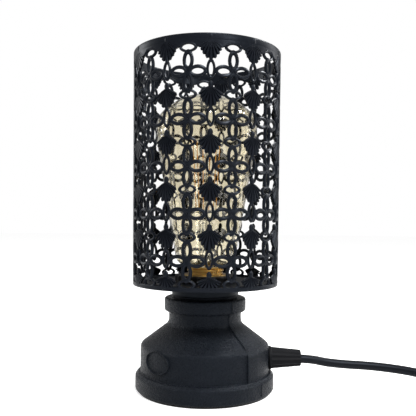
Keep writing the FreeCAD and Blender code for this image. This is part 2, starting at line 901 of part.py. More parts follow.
def make_bulb_cap():
    bead = cap_radius + cap_bead_rise
    low = bulb_cap_top - 2 * cap_bead_height
    return turned([
        (cap_radius - cap_wall, bulb_cap_bottom + insulator_thickness, 0),
        (cap_radius - cap_wall - 1.4, bulb_cap_bottom + insulator_thickness, 0),
        (cap_radius - cap_wall - 1.4, bulb_cap_bottom, 0),
        (cap_radius, bulb_cap_bottom, 0.5),
        (cap_radius, low - 0.4, 0),
        (bead, low, 0.4),
        (bead, low + cap_bead_height - 0.3, 0.4),
        (cap_radius + 0.1, low + cap_bead_height, 0),
        (bead, low + cap_bead_height + 0.3, 0.4),
        (bead, bulb_cap_top, 0.6),
        (cap_radius - cap_wall, bulb_cap_top, 0),
    ])


def make_stem():
    """The glass flare, press and rod that carry the filament."""
    foot = glass_bottom + bulb_glass_thickness + fit_clearance
    flare = stem_flare_diameter / 2
    press = stem_diameter / 2
    rod = mount_rod_diameter / 2
    top = foot + stem_height
    return turned([
        (0, foot, 0),
        (flare, foot, 0),
        (flare - 1.0, foot + 1.4, 0),
        (press, foot + 10.0, 6.0),
        (press, top - 4.0, 3.0),
        (rod, top, 1.0),
        (rod, top + mount_rod_height, 1.0),
        (0, top + mount_rod_height, 0),
    ])


filament_low = glass_bottom + bulb_glass_thickness + stem_height + 4.0
filament_high = filament_low + filament_length


def filament_place(k, high):
    angle = 2 * math.pi * (k + 0.25) / filament_runs
    radius = filament_radius_top if high else filament_radius_low
    return V(radius * math.cos(angle), radius * math.sin(angle), filament_high if high else filament_low)


def rod_between(start, end, radius):
    return Part.makeCylinder(radius, start.distanceToPoint(end), start, end - start)


def make_filament():
    """A squirrel-cage filament: runs from hook to hook, up and down in turn."""
    stops = [filament_place(k // 2, (k + 1) // 2 % 2 == 1) for k in range(2 * filament_runs)]
    pieces = []
    for start, end in zip(stops, stops[1:]):
        pieces.append(rod_between(start, end, filament_wire / 2))
        pieces.append(Part.makeSphere(filament_wire / 2, end))
    pieces.append(Part.makeSphere(filament_wire / 2, stops[0]))
    return pieces[0].multiFuse(pieces[1:])


def make_supports():
    """Spokes from the glass rod out to the filament's turns, above and below, and the two leads."""
    pieces = []
    reach = filament_wire / 2 + 0.1
    for high in (True, False):
        for k in range(filament_runs):
            end = filament_place(k, high)
            centre = V(0, 0, end.z)
            outward = (end - centre).normalize()
            start = centre + outward * (mount_rod_diameter / 2)
            pieces.append(rod_between(start, end - outward * reach, hook_wire / 2))
    return Part.Compound(pieces)


def make_bulb():
    save("bulb_glass", make_glass())
    save("bulb_cap", make_bulb_cap().cut(pin_holes()))
    pins = []
    for side in (-1, 1):
        start = cap_radius - cap_wall - 0.6
        root = V(side * start, 0, pins_height)
        pins.append(cylinder(pin_diameter / 2, pin_span / 2 - start, root, ALONG * side))
    save("bayonet_pins", Part.Compound(pins))
    insulator = cylinder(cap_radius - cap_wall - 1.4, insulator_thickness, V(0, 0, bulb_cap_bottom))
    save("cap_insulator", insulator)
    solder_places = [p + V(0, 0, plunger_tip) for p in plunger_places()]
    solder = [cylinder(solder_diameter / 2, solder_height, p) for p in solder_places]
    save("cap_contacts", Part.Compound(solder))
    save("glass_stem", make_stem())
    save("support_wires", make_supports())
    save("filament", make_filament())


def pin_holes():
    return cylinder(pin_diameter / 2, pin_span, V(-pin_span / 2, 0, pins_height), ALONG)


# ---------------------------------------------------------------- clamp, wires and earth

# the disc lies against the inside of the cone, just above the cord grip's nut
disc_bottom = cord_height + locknut_flats / 2 + clamp_disc_gap
disc_top = disc_bottom + clamp_disc_thickness
disc_radius = inner_cone_radius(disc_top + fit_clearance)
washer_bottom = disc_bottom - washer_thickness
nut_bottom = washer_bottom - tube_nut_height
tube_bottom = nut_bottom - tube_below_nut
tube_top = chamber_bottom + 0.8


def make_clamp():
    tube_radius = tube_diameter / 2
    save("threaded_tube", tube(tube_radius, tube_bore / 2, tube_top - tube_bottom, V(0, 0, tube_bottom)))
    hole = tube_radius + fit_clearance
    disc = tube(disc_radius, hole, clamp_disc_thickness, V(0, 0, disc_bottom))
    screw_place = V(0, -earth_screw_radius, disc_bottom)
    shank = earth_screw_diameter / 2
    disc = disc.cut(cylinder(shank + fit_clearance / 2, clamp_disc_thickness, screw_place))
    save("clamp_disc", disc)
    save("tube_washer", tube(washer_diameter / 2, hole, washer_thickness, V(0, 0, washer_bottom)))
    nut = hexagon(tube_nut_flats, tube_nut_height, V(0, 0, nut_bottom))
    save("tube_nut", nut.cut(cylinder(hole, tube_nut_height, V(0, 0, nut_bottom))))
    head_place = screw_place - V(0, 0, earth_screw_head_height)
    head = cylinder(earth_screw_head / 2, earth_screw_head_height, head_place)
    slot_low = head_place - V(earth_screw_head, 0.5, 0)
    slot = slab(slot_low, slot_low + V(2 * earth_screw_head, 1.0, 1.0))
    screw = joined([head.cut(slot), cylinder(shank, clamp_disc_thickness + 1.5, screw_place)])
    save("earth_screw", screw)


def make_wires():
    """Live and neutral rise through the threaded tube; the earth wire goes to its screw on the disc."""
    aside = 0.65 * wire_diameter
    low = tube_bottom - 3 * wire_diameter
    wire_start = cord_start - 0.2 * wire_diameter
    wire_bend = neck_end - 1.5 * wire_diameter
    for name, side in (("live_wire", 1), ("neutral_wire", -1)):
        height = cord_height + 0.4 * wire_diameter
        route = [
            V(wire_start, side * aside, height),
            V(wire_bend, side * aside, height),
            V(0.62 * cord_start, side * 1.9 * aside, cord_height - 2.5 * wire_diameter),
            V(0.28 * cord_start, side * 1.5 * aside, low + wire_diameter / 2),
            V(0, side * aside, low),
            V(0, side * aside, tube_bottom + 1.5 * wire_diameter),
            V(0, side * aside * 1.02, insert_bottom - wire_diameter),
        ]
        save(name, cord_tube(name, route, wire_diameter))
    earth_height = cord_height - 0.75 * wire_diameter
    head_bottom = disc_bottom - earth_screw_head_height
    earth_route = [
        V(wire_start, 0, earth_height),
        V(wire_bend, 0, earth_height),
        V(0.7 * cord_start, -0.25 * earth_screw_radius, low + wire_diameter / 2),
        V(0.35 * cord_start, -0.7 * earth_screw_radius, low - wire_diameter / 2),
        V(0, -earth_screw_radius, low + wire_diameter / 2),
        V(0, -earth_screw_radius, head_bottom - fit_clearance),
    ]
    save("earth_wire", cord_tube("earth_wire", earth_route, wire_diameter))


# ---------------------------------------------------------------- cord grip

def make_grip():
    cord_bore = cord_radius + cord_bore_clearance
    spigot_end = cap_face + grip_spigot_length
    body = turned_along([
        (neck_end, cord_bore, 0),
        (spigot_end, cord_bore, 0),
        (spigot_end, grip_spigot_diameter / 2, 0.4),
        (cap_face, grip_spigot_diameter / 2, 0),
        (cap_face, grip_flange_diameter / 2, 0.5),
        (flange_face, grip_flange_diameter / 2, 0),
        (flange_face, grip_thread_diameter / 2, 0),
        (neck_end, grip_thread_diameter / 2, 0.4),
    ], grip_axis)
    save("cord_grip_body", body)
    root_face = V(cap_face, 0, cord_height)
    tip_face = V(grip_tip, 0, cord_height)
    wires = []
    for centre, diameter in ((root_face, grip_cap_root_diameter), (tip_face, grip_cap_tip_diameter)):
        place = lambda y, z, at=centre: at + V(0, y, z)
        wires.append(star_wire(diameter / 2, diameter / 2 - grip_rib_depth, grip_cap_ribs, place))
    outside = Part.makeLoft(wires, True, True)
    chamber = grip_spigot_diameter / 2 + fit_clearance
    chamber_end = grip_tip - grip_cap_end
    inside = turned_along([
        (cap_face, 0, 0),
        (cap_face, chamber, 0),
        (spigot_end + 1.0, chamber, 0),
        (chamber_end, cord_bore + 0.6, 0),
        (grip_tip, cord_bore + 0.1, 0),
        (grip_tip, 0, 0),
    ], grip_axis)
    save("cord_grip_cap", outside.cut(inside))
    collet_start = spigot_end + fit_clearance
    collet_end = chamber_end - fit_clearance
    reach = collet_end - collet_start
    slope = (chamber - cord_bore - 0.6) / (chamber_end - spigot_end - 1.0)
    collet = turned_along([
        (collet_start, cord_bore, 0),
        (collet_end, cord_bore, 0),
        (collet_end, cord_bore + 0.35, 0),
        (collet_start + 1.0, cord_bore + 0.35 + slope * (reach - 1.0) - 0.3, 0),
        (collet_start, cord_bore + 0.35 + slope * (reach - 1.0) - 0.3, 0),
    ], grip_axis)
    slits = []
    for k in range(collet_slits // 2):
        slit = slab(V(collet_start + 1.2, -chamber, -0.3), V(collet_end + 1.0, chamber, 0.3))
        slit.rotate(V(0, 0, 0), ALONG, 180.0 / (collet_slits // 2) * k + 45)
        slit.translate(grip_axis)
        slits.append(slit)
    save("cord_grip_collet", collet.cut(slits))
    nut_place = V(locknut_face - locknut_height, 0, cord_height)
    nut = hexagon(locknut_flats, locknut_height, nut_place, ALONG)
    bore = cylinder(grip_thread_diameter / 2 + fit_clearance, locknut_height, nut_place, ALONG)
    save("cord_grip_locknut", nut.cut(bore))


# ---------------------------------------------------------------- cord, coil and tie

def make_coil_solid():
    inner = coil_radius - coil_half_width
    round_off = cord_radius * 0.9
    coil = turned([
        (inner, 0, round_off),
        (coil_outside, 0, round_off),
        (coil_outside, coil_height, round_off),
        (inner, coil_height, round_off),
    ])
    coil.translate(coil_centre)
    return coil


def make_tie():
    """A flat strap round the coil's bundle of turns."""
    gap = fit_clearance
    inner = coil_radius - coil_half_width - gap
    outer = coil_outside + gap
    height = coil_height + gap
    place = lambda p: V(0, p.x, p.y)
    corner = cord_radius * 0.9
    outside = rounded_outline([
        (inner - tie_thickness, 0, corner),
        (outer + tie_thickness, 0, corner),
        (outer + tie_thickness, height + tie_thickness, corner),
        (inner - tie_thickness, height + tie_thickness, corner),
    ], place)
    strap = outside.extrude(V(tie_width, 0, 0))
    strap.translate(V(-tie_width / 2, 0, 0))
    coil = turned([
        (inner, -5.0, 0),
        (outer, -5.0, 0),
        (outer, height, corner),
        (inner, height, corner),
    ])
    strap = strap.cut(coil)
    strap.rotate(V(0, 0, 0), UP, tie_angle - 90)
    strap.translate(coil_centre)
    return strap


def make_cords():
    coil = make_coil_solid()
    save("cord_front", cord_tube("cord_front", front_route, cord_diameter))
    lead = cord_tube("cord_lead", lead_route, cord_diameter)
    save("cord_lead", lead.cut(coil))
    save("cord_coil", coil)
    tail = cord_tube("cord_tail", tail_route, cord_diameter)
    save("cord_tail", tail.cut(coil))
    save("coil_tie", make_tie())
    turns = coil_columns * coil_layers - 0.5
    print(f"coil: {turns} turns, {turns * math.pi * coil_mean_diameter:.0f} of cord")


# ---------------------------------------------------------------- switch

switch_low = switch_middle - V(switch_length / 2, switch_width / 2, switch_middle.z)
split_height = switch_middle.z
rocker_pivot = V(switch_middle.x, switch_middle.y, switch_height - rocker_pivot_below_top)


def rounded_block(low, size, corner):
    """A block with rounded upright corners."""
    corners = [
        (low.x, low.y, corner),
        (low.x + size.x, low.y, corner),
        (low.x + size.x, low.y + size.y, corner),
        (low.x, low.y + size.y, corner),
    ]
    return rounded_outline(corners, lambda p: V(p.x, p.y, low.z)).extrude(V(0, 0, size.z))


def edge_rounded(block, level, radius):
    """Rounds the flat outline edges of a block at one height."""
    edges = [e for e in block.Edges if all(abs(v.Z - level) < 1e-6 for v in e.Vertexes)]
    return block.makeFillet(radius, edges)


def make_switch_halves():
    """The lower half with its screw holes, and the upper half with the rocker's window and lugs."""
    size = V(switch_length, switch_width, switch_height)
    outside = rounded_block(switch_low, size, switch_corner)
    outside = edge_rounded(outside, switch_height, switch_edge)
    outside = edge_rounded(outside, 0.0, switch_edge / 2)
    walls = V(switch_wall, switch_wall, switch_wall)
    hollow = rounded_block(switch_low + walls, size - walls * 2, switch_corner - switch_wall)
    cord_hole = cylinder(cord_radius + cord_bore_clearance, switch_length, switch_near_end, ALONG)
    shell = outside.cut(hollow).cut(cord_hole)
    room = rocker_clearance
    window_half = V(rocker_length / 2 + room, rocker_width / 2 + room, switch_height)
    window_middle = V(rocker_pivot.x, rocker_pivot.y, split_height + switch_height)
    window = slab(window_middle - window_half, window_middle + window_half)
    screw_holes = []
    for side in (-1, 1):
        at = V(switch_middle.x + side * switch_screw_reach, switch_middle.y, 0)
        screw_holes.append(cylinder(switch_screw_diameter / 2, 2.0, at))
    below = slab(switch_low - V(1, 1, 1), switch_low + V(switch_length + 1, switch_width + 1, split_height))
    lower = shell.common(below).cut(screw_holes)
    upper = shell.cut(below).cut(window)
    lugs = []
    lug_near = rocker_width / 2 + 0.3
    for side in (-1, 1):
        y_low, y_high = sorted((side * lug_near, side * (lug_near + 1.6)))
        low = rocker_pivot + V(-2.2, y_low, -2.2)
        high = V(rocker_pivot.x + 2.2, rocker_pivot.y + y_high, switch_height - switch_wall + 0.2)
        lugs.append(slab(low, high))
    upper = joined([upper] + lugs)
    bore_half = lug_near + 1.8
    pin_bore_start = rocker_pivot - V(0, bore_half, 0)
    pin_bore = cylinder(rocker_pin_diameter / 2 + 0.05, 2 * bore_half, pin_bore_start, ACROSS)
    return lower, upper.cut(pin_bore)


def make_rocker():
    """A shallow V seen from the side, tilted so that its far half is pressed."""
    half = rocker_length / 2
    rise = math.tan(math.radians(rocker_angle))
    profile = [
        (-half, 1.2 + half * rise, 0.8),
        (0, 1.9, 10.0),
        (half, 1.2 + half * rise, 0.8),
        (half - 0.8, -0.6, 0.8),
        (2.2, -3.4, 1.0),
        (-2.2, -3.4, 1.0),
        (-half + 0.8, -0.6, 0.8),
    ]
    place = lambda p: V(p.x, -rocker_width / 2, p.y)
    rocker = rounded_outline(profile, place).extrude(V(0, rocker_width, 0))
    bore_start = V(0, -rocker_width / 2, 0)
    rocker = rocker.cut(cylinder(rocker_pin_diameter / 2 + 0.05, rocker_width, bore_start, ACROSS))
    rocker.rotate(V(0, 0, 0), ACROSS, rocker_angle)
    rocker.translate(rocker_pivot)
    return rocker


def make_switch():
    lower, upper = make_switch_halves()
    save("switch_base", lower)
    save("switch_cover", upper)
    save("switch_rocker", make_rocker())
    pin_half = rocker_width / 2 + 1.9
    pin_end = rocker_pivot - V(0, pin_half, 0)
    save("rocker_pin", cylinder(rocker_pin_diameter / 2, 2 * pin_half, pin_end, ACROSS))
    terminals = []
    screws = []
    for side in (-1, 1):
        at = V(switch_middle.x + side * 7.0, switch_middle.y + 6.0, switch_wall)
        half = V(switch_terminal_length / 2, 1.6, 0)
        terminals.append(slab(at - half, at + half + V(0, 0, 3.2)))
        place = V(switch_middle.x + side * switch_screw_reach, switch_middle.y, 0.3)
        head = cylinder(switch_screw_diameter / 2 - 0.2, 1.6, place)
        slot = slab(place - V(3, 0.4, 0), place + V(3, 0.4, 0.7))
        screws.append(head.cut(slot))
    save("switch_terminals", Part.Compound(terminals))
    save("switch_screws", Part.Compound(screws))


# ---------------------------------------------------------------- plug

def make_plug():
    """A plug with three round pins, its sleeve towards +X and its pins towards the lamp."""
    start = plug_body_start
    end = start - plug_depth
    sections = []
    for depth, share in ((0, 0.62), (0.23, 0.94), (0.55, 1.0), (1.0, 1.0)):
        a, b = share * plug_width / 2, share * plug_height / 2
        outline = [(-a, -b, plug_edge), (a, -b, plug_edge), (a, b, plug_edge), (-a, b, plug_edge)]
        at = start - depth * plug_depth
        face = rounded_outline(outline, lambda p, x=at: V(x, plug_axis.y + p.x, plug_axis.z + p.y))
        sections.append(face.OuterWire)
    body = Part.makeLoft(sections, True, True)
    live_height = plug_axis.z - pin_line_below_axis
    half_spacing = live_pin_spacing / 2
    pin_places = [
        (-half_spacing, live_height, live_pin_diameter, live_pin_length),
        (half_spacing, live_height, live_pin_diameter, live_pin_length),
        (0, live_height + earth_pin_rise, earth_pin_diameter, earth_pin_length),
    ]
    pins = []
    for across, height, diameter, length in pin_places:
        root = V(end + pin_root, plug_axis.y + across, height)
        body = body.cut(cylinder(diameter / 2, pin_root, root, -ALONG))
        pin = turned_along([
            (root.x, 0, 0),
            (root.x, diameter / 2, 0),
            (end - length, diameter / 2, diameter * 0.3),
            (end - length, 0, 0),
        ], root)
        pins.append(pin)
    save("plug_body", body)
    save("plug_pins", Part.Compound(pins[:2]))
    save("plug_earth_pin", pins[2])
    bore = cord_radius + cord_bore_clearance
    sleeve = turned_along([
        (plug_rear.x, bore, 0),
        (plug_rear.x, plug_sleeve_tip / 2, 0.6),
        (plug_body_start, plug_sleeve_root / 2, 0),
        (plug_body_start, bore, 0),
    ], plug_axis)
    save("plug_sleeve", sleeve)


os.makedirs("parts", exist_ok=True)
make_foot()
make_shade()
make_lampholder()
make_bulb()
make_clamp()
make_wires()
make_grip()
make_cords()
make_switch()
make_plug()
print(f"{len(made)} nodes; overall height {shade_top:.1f}; glass top {glass_top:.1f}")
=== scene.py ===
import bpy
import json
import math
from mathutils import Matrix, Vector


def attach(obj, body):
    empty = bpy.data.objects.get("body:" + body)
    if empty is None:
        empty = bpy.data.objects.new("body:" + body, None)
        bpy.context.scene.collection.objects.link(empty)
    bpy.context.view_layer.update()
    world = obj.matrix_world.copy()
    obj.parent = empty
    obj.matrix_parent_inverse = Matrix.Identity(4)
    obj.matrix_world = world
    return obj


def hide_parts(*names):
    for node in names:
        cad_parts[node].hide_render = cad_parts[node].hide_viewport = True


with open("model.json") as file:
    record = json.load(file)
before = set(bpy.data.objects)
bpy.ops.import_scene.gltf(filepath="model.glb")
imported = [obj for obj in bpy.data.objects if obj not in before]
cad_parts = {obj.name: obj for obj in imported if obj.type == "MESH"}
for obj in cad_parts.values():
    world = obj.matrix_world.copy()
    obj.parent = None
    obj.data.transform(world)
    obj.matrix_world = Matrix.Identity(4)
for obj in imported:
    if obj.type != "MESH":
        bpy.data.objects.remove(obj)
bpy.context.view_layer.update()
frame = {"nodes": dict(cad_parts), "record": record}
nodes = frame["nodes"]
mm = 0.001
print("frame loaded:", len(nodes), "CAD nodes")


# small helpers for shaping pieces by hand

def deselectAll():
    if bpy.context.object and bpy.context.object.mode != "OBJECT":
        bpy.ops.object.mode_set(mode="OBJECT")
    bpy.ops.object.select_all(action="DESELECT")


def takeUp(piece):
    deselectAll()
    bpy.context.view_layer.objects.active = piece
    piece.select_set(True)


def smoothPiece(piece, angle=35):
    takeUp(piece)
    bpy.ops.object.shade_smooth_by_angle(angle=math.radians(angle))


def applyModifiers(piece):
    takeUp(piece)
    for modifier in list(piece.modifiers):
        bpy.ops.object.modifier_apply(modifier=modifier.name)


def tidyMesh(piece, distance=2e-6):
    takeUp(piece)
    bpy.ops.object.mode_set(mode="EDIT")
    bpy.ops.mesh.select_all(action="SELECT")
    bpy.ops.mesh.remove_doubles(threshold=distance)
    bpy.ops.mesh.dissolve_degenerate(threshold=distance / 2)
    bpy.ops.mesh.select_all(action="SELECT")
    bpy.ops.mesh.normals_make_consistent(inside=False)
    bpy.ops.object.mode_set(mode="OBJECT")


def joinPieces(name, pieces):
    deselectAll()
    for piece in pieces:
        piece.select_set(True)
    bpy.context.view_layer.objects.active = pieces[0]
    if len(pieces) > 1:
        bpy.ops.object.join()
    whole = bpy.context.view_layer.objects.active
    whole.name = name
    whole.data.name = name
    return whole


def copyPiece(piece, name):
    other = bpy.data.objects.new(name, piece.data.copy())
    bpy.context.scene.collection.objects.link(other)
    return other


def roundedProfile(corners, steps=5):
    # each corner is (across, up, rounding) in mm; the rounding is cut to what its two sides allow
    points = []
    count = len(corners)
    for i, (across, up, rounding) in enumerate(corners):
        here = Vector((across, up))
        back = Vector(corners[i - 1][:2]) - here
        ahead = Vector(corners[(i + 1) % count][:2]) - here
        if rounding <= 0:
            points.append(here)
            continue
        half = back.angle(ahead) / 2
        backShare = 0.98 if corners[i - 1][2] <= 0 else 0.49
        aheadShare = 0.98 if corners[(i + 1) % count][2] <= 0 else 0.49
        reach = min(rounding / math.tan(half), backShare * back.length, aheadShare * ahead.length)
        radius = reach * math.tan(half)
        toward = (back.normalized() + ahead.normalized()).normalized()
        middle = here + toward * (reach / math.cos(half))
        start = here + back.normalized() * reach - middle
        end = here + ahead.normalized() * reach - middle
        turn = start.angle_signed(end)
        for k in range(steps + 1):
            step = start.copy()
            step.rotate(Matrix.Rotation(-turn * k / steps, 2))
            points.append(middle + step.normalized() * radius)
    return points


def turnedPiece(name, corners, steps=96, rounds=5, angle=360.0, start=0.0, smooth=35):
    # a circle's points are moved onto the outline, and the outline is spun about the lamp's axis
    points = roundedProfile(corners, rounds)
    deselectAll()
    fill = "NOTHING" if angle >= 360 else "NGON"
    bpy.ops.mesh.primitive_circle_add(vertices=len(points), radius=0.01, fill_type=fill)
    piece = bpy.context.object
    piece.name = name
    piece.data.name = name
    turn = Matrix.Rotation(math.radians(start), 3, "Z")
    for vertex, point in zip(piece.data.vertices, points):
        vertex.co = turn @ Vector((point[0] * mm, 0, point[1] * mm))
    bpy.ops.object.mode_set(mode="EDIT")
    bpy.ops.mesh.select_all(action="SELECT")
    bpy.ops.mesh.spin(steps=steps, angle=math.radians(angle), center=(0, 0, 0), axis=(0, 0, 1))
    bpy.ops.object.mode_set(mode="OBJECT")
    tidyMesh(piece)
    smoothPiece(piece, smooth)
    return piece


def ringPiece(name, outer, inner, depth, crest, around, section, point=0.12):
    # a torus whose section runs from the inner to the outer lens; point sharpens the lens's two ends
    tube = 0.25
    deselectAll()
    bpy.ops.mesh.primitive_torus_add(major_segments=around, minor_segments=section, major_radius=1.0,
                                     minor_radius=tube)
    piece = bpy.context.object
    piece.name = name
    long = 0 if outer[0] >= outer[1] else 1
    for vertex in piece.data.vertices:
        angle = math.atan2(vertex.co.y, vertex.co.x)
        reach = math.hypot(vertex.co.x, vertex.co.y)
        share = min(1.0, max(0.0, (reach - 1.0) / (2 * tube) + 0.5))
        out = vertex.co.z / tube
        size = [outer[i] * share + inner[i] * (1 - share) for i in (0, 1)]
        flat = [size[0] * math.cos(angle), size[1] * math.sin(angle)]
        tip = abs(math.cos(angle) if long == 0 else math.sin(angle))
        flat[1 - long] *= 1 - point * tip ** 2
        push = out * depth / 2 if out < 0 else out * (depth / 2 + crest)
        vertex.co = Vector((flat[0] * mm, -push * mm, flat[1] * mm))
    return piece


def drumRadius(height):
    # the radius of the shade's outside in mm at a height in metres
    rise = (height / mm - shade["bottom"]) * shade["flare"]
    return shade["radius"] + rise / (shade["top"] - shade["bottom"])


def wrapOnDrum(piece, radius, angle, lift):
    # lays a flat piece, X across, Z up and -Y outwards, on a drum, at an angle from the front
    # radius gives the drum's radius in mm at a height in metres
    for vertex in piece.data.vertices:
        height = vertex.co.z + lift * mm
        drum = radius(height) * mm
        turn = vertex.co.x / drum + math.radians(angle)
        reach = drum - vertex.co.y
        vertex.co = Vector((reach * math.sin(turn), -reach * math.cos(turn), height))


class Signal:
    # wraps a socket, so that sums of sockets and numbers read as sums
    def __init__(self, tree, socket=None):
        self.tree = tree
        self.socket = socket

    def put(self, target, value):
        if isinstance(value, Signal):
            self.tree.links.new(value.socket, target)
        else:
            target.default_value = value

    def node(self, kind, settings=None, inputs=None, output=0):
        made = self.tree.nodes.new(kind)
        for key, value in (settings or {}).items():
            if key == "stops":
                ramp = made.color_ramp
                while len(ramp.elements) < len(value):
                    ramp.elements.new(0.5)
                for element, (place, colour) in zip(ramp.elements, value):
                    element.position = place
                    element.color = colour
            else:
                setattr(made, key, value)
        for key, value in (inputs or {}).items():
            self.put(made.inputs[key], value)
        return Signal(self.tree, made.outputs[output])

    def maths(self, operation, first, second):
        return self.node("ShaderNodeMath", {"operation": operation}, {0: first, 1: second})

    def __add__(self, other):
        return self.maths("ADD", self, other)

    __radd__ = __add__

    def __mul__(self, other):
        return self.maths("MULTIPLY", self, other)

    __rmul__ = __mul__

    def between(self, low, high):
        # 0 below low, 1 above high, a straight ramp in between
        limits = {"Value": self, "From Min": low, "From Max": high}
        return self.node("ShaderNodeMapRange", {"clamp": True}, limits)

    def blend(self, first, second):
        # from the first colour to the second as this goes from 0 to 1
        return self.node("ShaderNodeMix", {"data_type": "RGBA"}, {0: self, 6: first, 7: second}, 2)


class Finish:
    # a new material with its shader, its coordinates and the textures that finishes are made of
    def __init__(self, name):
        self.material = bpy.data.materials.new(name)
        self.material.use_nodes = True
        self.tree = self.material.node_tree
        self.tree.nodes.clear()
        self.output = self.tree.nodes.new("ShaderNodeOutputMaterial")
        self.shader = self.tree.nodes.new("ShaderNodeBsdfPrincipled")
        self.tree.links.new(self.shader.outputs[0], self.output.inputs[0])
        self.start = Signal(self.tree)
        self.place = self.start.node("ShaderNodeTexCoord", output=3)

    def stretched(self, scale, turn=(0, 0, 0)):
        inputs = {"Vector": self.place, "Scale": scale, "Rotation": turn}
        return self.start.node("ShaderNodeMapping", {}, inputs)

    def noise(self, scale, detail=3.0, rough=0.55, vector=None):
        inputs = {"Vector": vector or self.place, "Scale": scale, "Detail": detail, "Roughness": rough}
        return self.start.node("ShaderNodeTexNoise", {}, inputs)

    def cells(self, scale):
        return self.start.node("ShaderNodeTexVoronoi", {}, {"Vector": self.place, "Scale": scale})

    def waves(self, scale, direction, distortion):
        inputs = {"Vector": self.place, "Scale": scale, "Distortion": distortion, "Detail": 1.0}
        return self.start.node("ShaderNodeTexWave", {"bands_direction": direction}, inputs)

    def bump(self, height, distance, strength):
        inputs = {"Height": height, "Distance": distance, "Strength": strength}
        return self.start.node("ShaderNodeBump", {}, inputs)

    def set(self, **values):
        for key, value in values.items():
            self.start.put(self.shader.inputs[key.replace("_", " ")], value)


def rgb(red, green, blue):
    return (red, green, blue, 1.0)


def dressed(piece, finish):
    piece.data.materials.clear()
    piece.data.materials.append(finish.material)


coldSheen = rgb(0.74, 0.84, 1.0)


def castingFinish():
    f = Finish("castBlack")
    sand = f.cells(900.0)
    grit = f.noise(1000.0, 4.0, 0.75)
    swell = f.noise(90.0, 3.0)
    dust = f.noise(220.0, 5.0, 0.7).between(0.52, 0.78)
    height = grit * 0.7 + sand * 0.3 + swell * 0.7
    colour = dust.blend(rgb(0.0048, 0.0062, 0.0088), rgb(0.0095, 0.0112, 0.0150))
    f.set(Base_Color=colour, Roughness=0.21 + grit.between(0.40, 0.62) * 0.26)
    f.set(Specular_IOR_Level=0.13, Specular_Tint=coldSheen)
    f.set(Normal=f.bump(height, 0.0008, 0.9))
    return f


def pipeFinish():
    f = Finish("pipeBlack")
    drawn = f.noise(40.0, 4.0, 0.6, f.stretched((1, 1, 14)))
    grit = f.noise(1100.0, 3.0, 0.6)
    colour = drawn.between(0.35, 0.7).blend(rgb(0.0040, 0.0052, 0.0072), rgb(0.0070, 0.0085, 0.0110))
    f.set(Base_Color=colour, Roughness=0.36 + grit * 0.12)
    f.set(Specular_IOR_Level=0.12, Specular_Tint=coldSheen)
    f.set(Normal=f.bump(drawn * 0.5 + grit * 0.35, 0.00012, 0.6))
    return f


def sheetFinish():
    f = Finish("sheetBlack")
    orange = f.noise(520.0, 2.0, 0.5)
    patch = f.noise(45.0, 3.0)
    colour = patch.between(0.35, 0.7).blend(rgb(0.0042, 0.0052, 0.0078), rgb(0.0080, 0.0095, 0.0130))
    f.set(Base_Color=colour, Roughness=0.26 + orange * 0.14)
    f.set(Specular_IOR_Level=0.14, Specular_Tint=coldSheen)
    f.set(Normal=f.bump(orange, 0.00006, 0.6))
    return f


def metalFinish(name, dark, light, rough, stretch, stain, bump=0.00003):
    # drawn or turned metal: fine lines along one way, with soft tarnish in patches
    f = Finish(name)
    lines = f.noise(420.0, 3.0, 0.6, f.stretched(stretch))
    tarnish = f.noise(130.0, 5.0, 0.65).between(0.45, 0.75)
    colour = (tarnish * stain).blend(rgb(*light), rgb(*dark))
    f.set(Base_Color=colour, Metallic=1.0, Roughness=rough + lines * 0.10 + tarnish * 0.12)
    f.set(Normal=f.bump(lines, bump, 0.5))
    return f


def mouldedFinish(name, dark, light, rough, grain, depth, level):
    # moulded plastic: a spark-eroded grain with a slight flow mottle
    f = Finish(name)
    spark = f.cells(grain)
    flow = f.noise(60.0, 2.0)
    f.set(Base_Color=flow.blend(rgb(*dark), rgb(*light)), Roughness=rough + spark * 0.10)
    f.set(Specular_IOR_Level=level)
    f.set(Normal=f.bump(spark, depth, 0.5))
    return f


def cordFinish():
    f = Finish("cordBlack")
    skin = f.noise(900.0, 3.0)
    scuff = f.noise(160.0, 4.0, 0.7).between(0.6, 0.8)
    colour = scuff.blend(rgb(0.0040, 0.0042, 0.0052), rgb(0.0110, 0.0115, 0.0130))
    f.set(Base_Color=colour, Roughness=0.34 + skin * 0.14)
    f.set(Specular_IOR_Level=0.16, Specular_Tint=coldSheen)
    f.set(Normal=f.bump(skin, 0.00004, 0.5))
    return f


def ceramicFinish():
    f = Finish("ceramicWhite")
    speck = f.cells(700.0).between(0.0, 0.16)
    glaze = f.noise(90.0, 2.0)
    colour = speck.blend(rgb(0.45, 0.41, 0.34), rgb(0.78, 0.76, 0.70))
    f.set(Base_Color=colour, Roughness=0.16 + glaze * 0.12)
    f.set(Coat_Weight=0.4, Coat_Roughness=0.08, Normal=f.bump(glaze, 0.0002, 0.4))
    return f


def glassFinish(name, tint, rough, rippleScale):
    f = Finish(name)
    ripple = f.noise(rippleScale, 2.0)
    smoke = f.noise(24.0, 2.0).between(0.3, 0.8)
    f.set(Base_Color=smoke.blend(tint, tuple(c ** 1.25 for c in tint)), Roughness=rough)
    f.set(Transmission_Weight=1.0, IOR=1.46, Normal=f.bump(ripple, 0.00012, 0.25))
    return f


def vitriteFinish():
    f = Finish("vitriteBlack")
    swirl = f.noise(300.0, 4.0, 0.7)
    colour = swirl.blend(rgb(0.008, 0.006, 0.012), rgb(0.03, 0.02, 0.045))
    f.set(Base_Color=colour, Roughness=0.12 + swirl * 0.1)
    f.set(Normal=f.bump(swirl, 0.00008, 0.5))
    return f


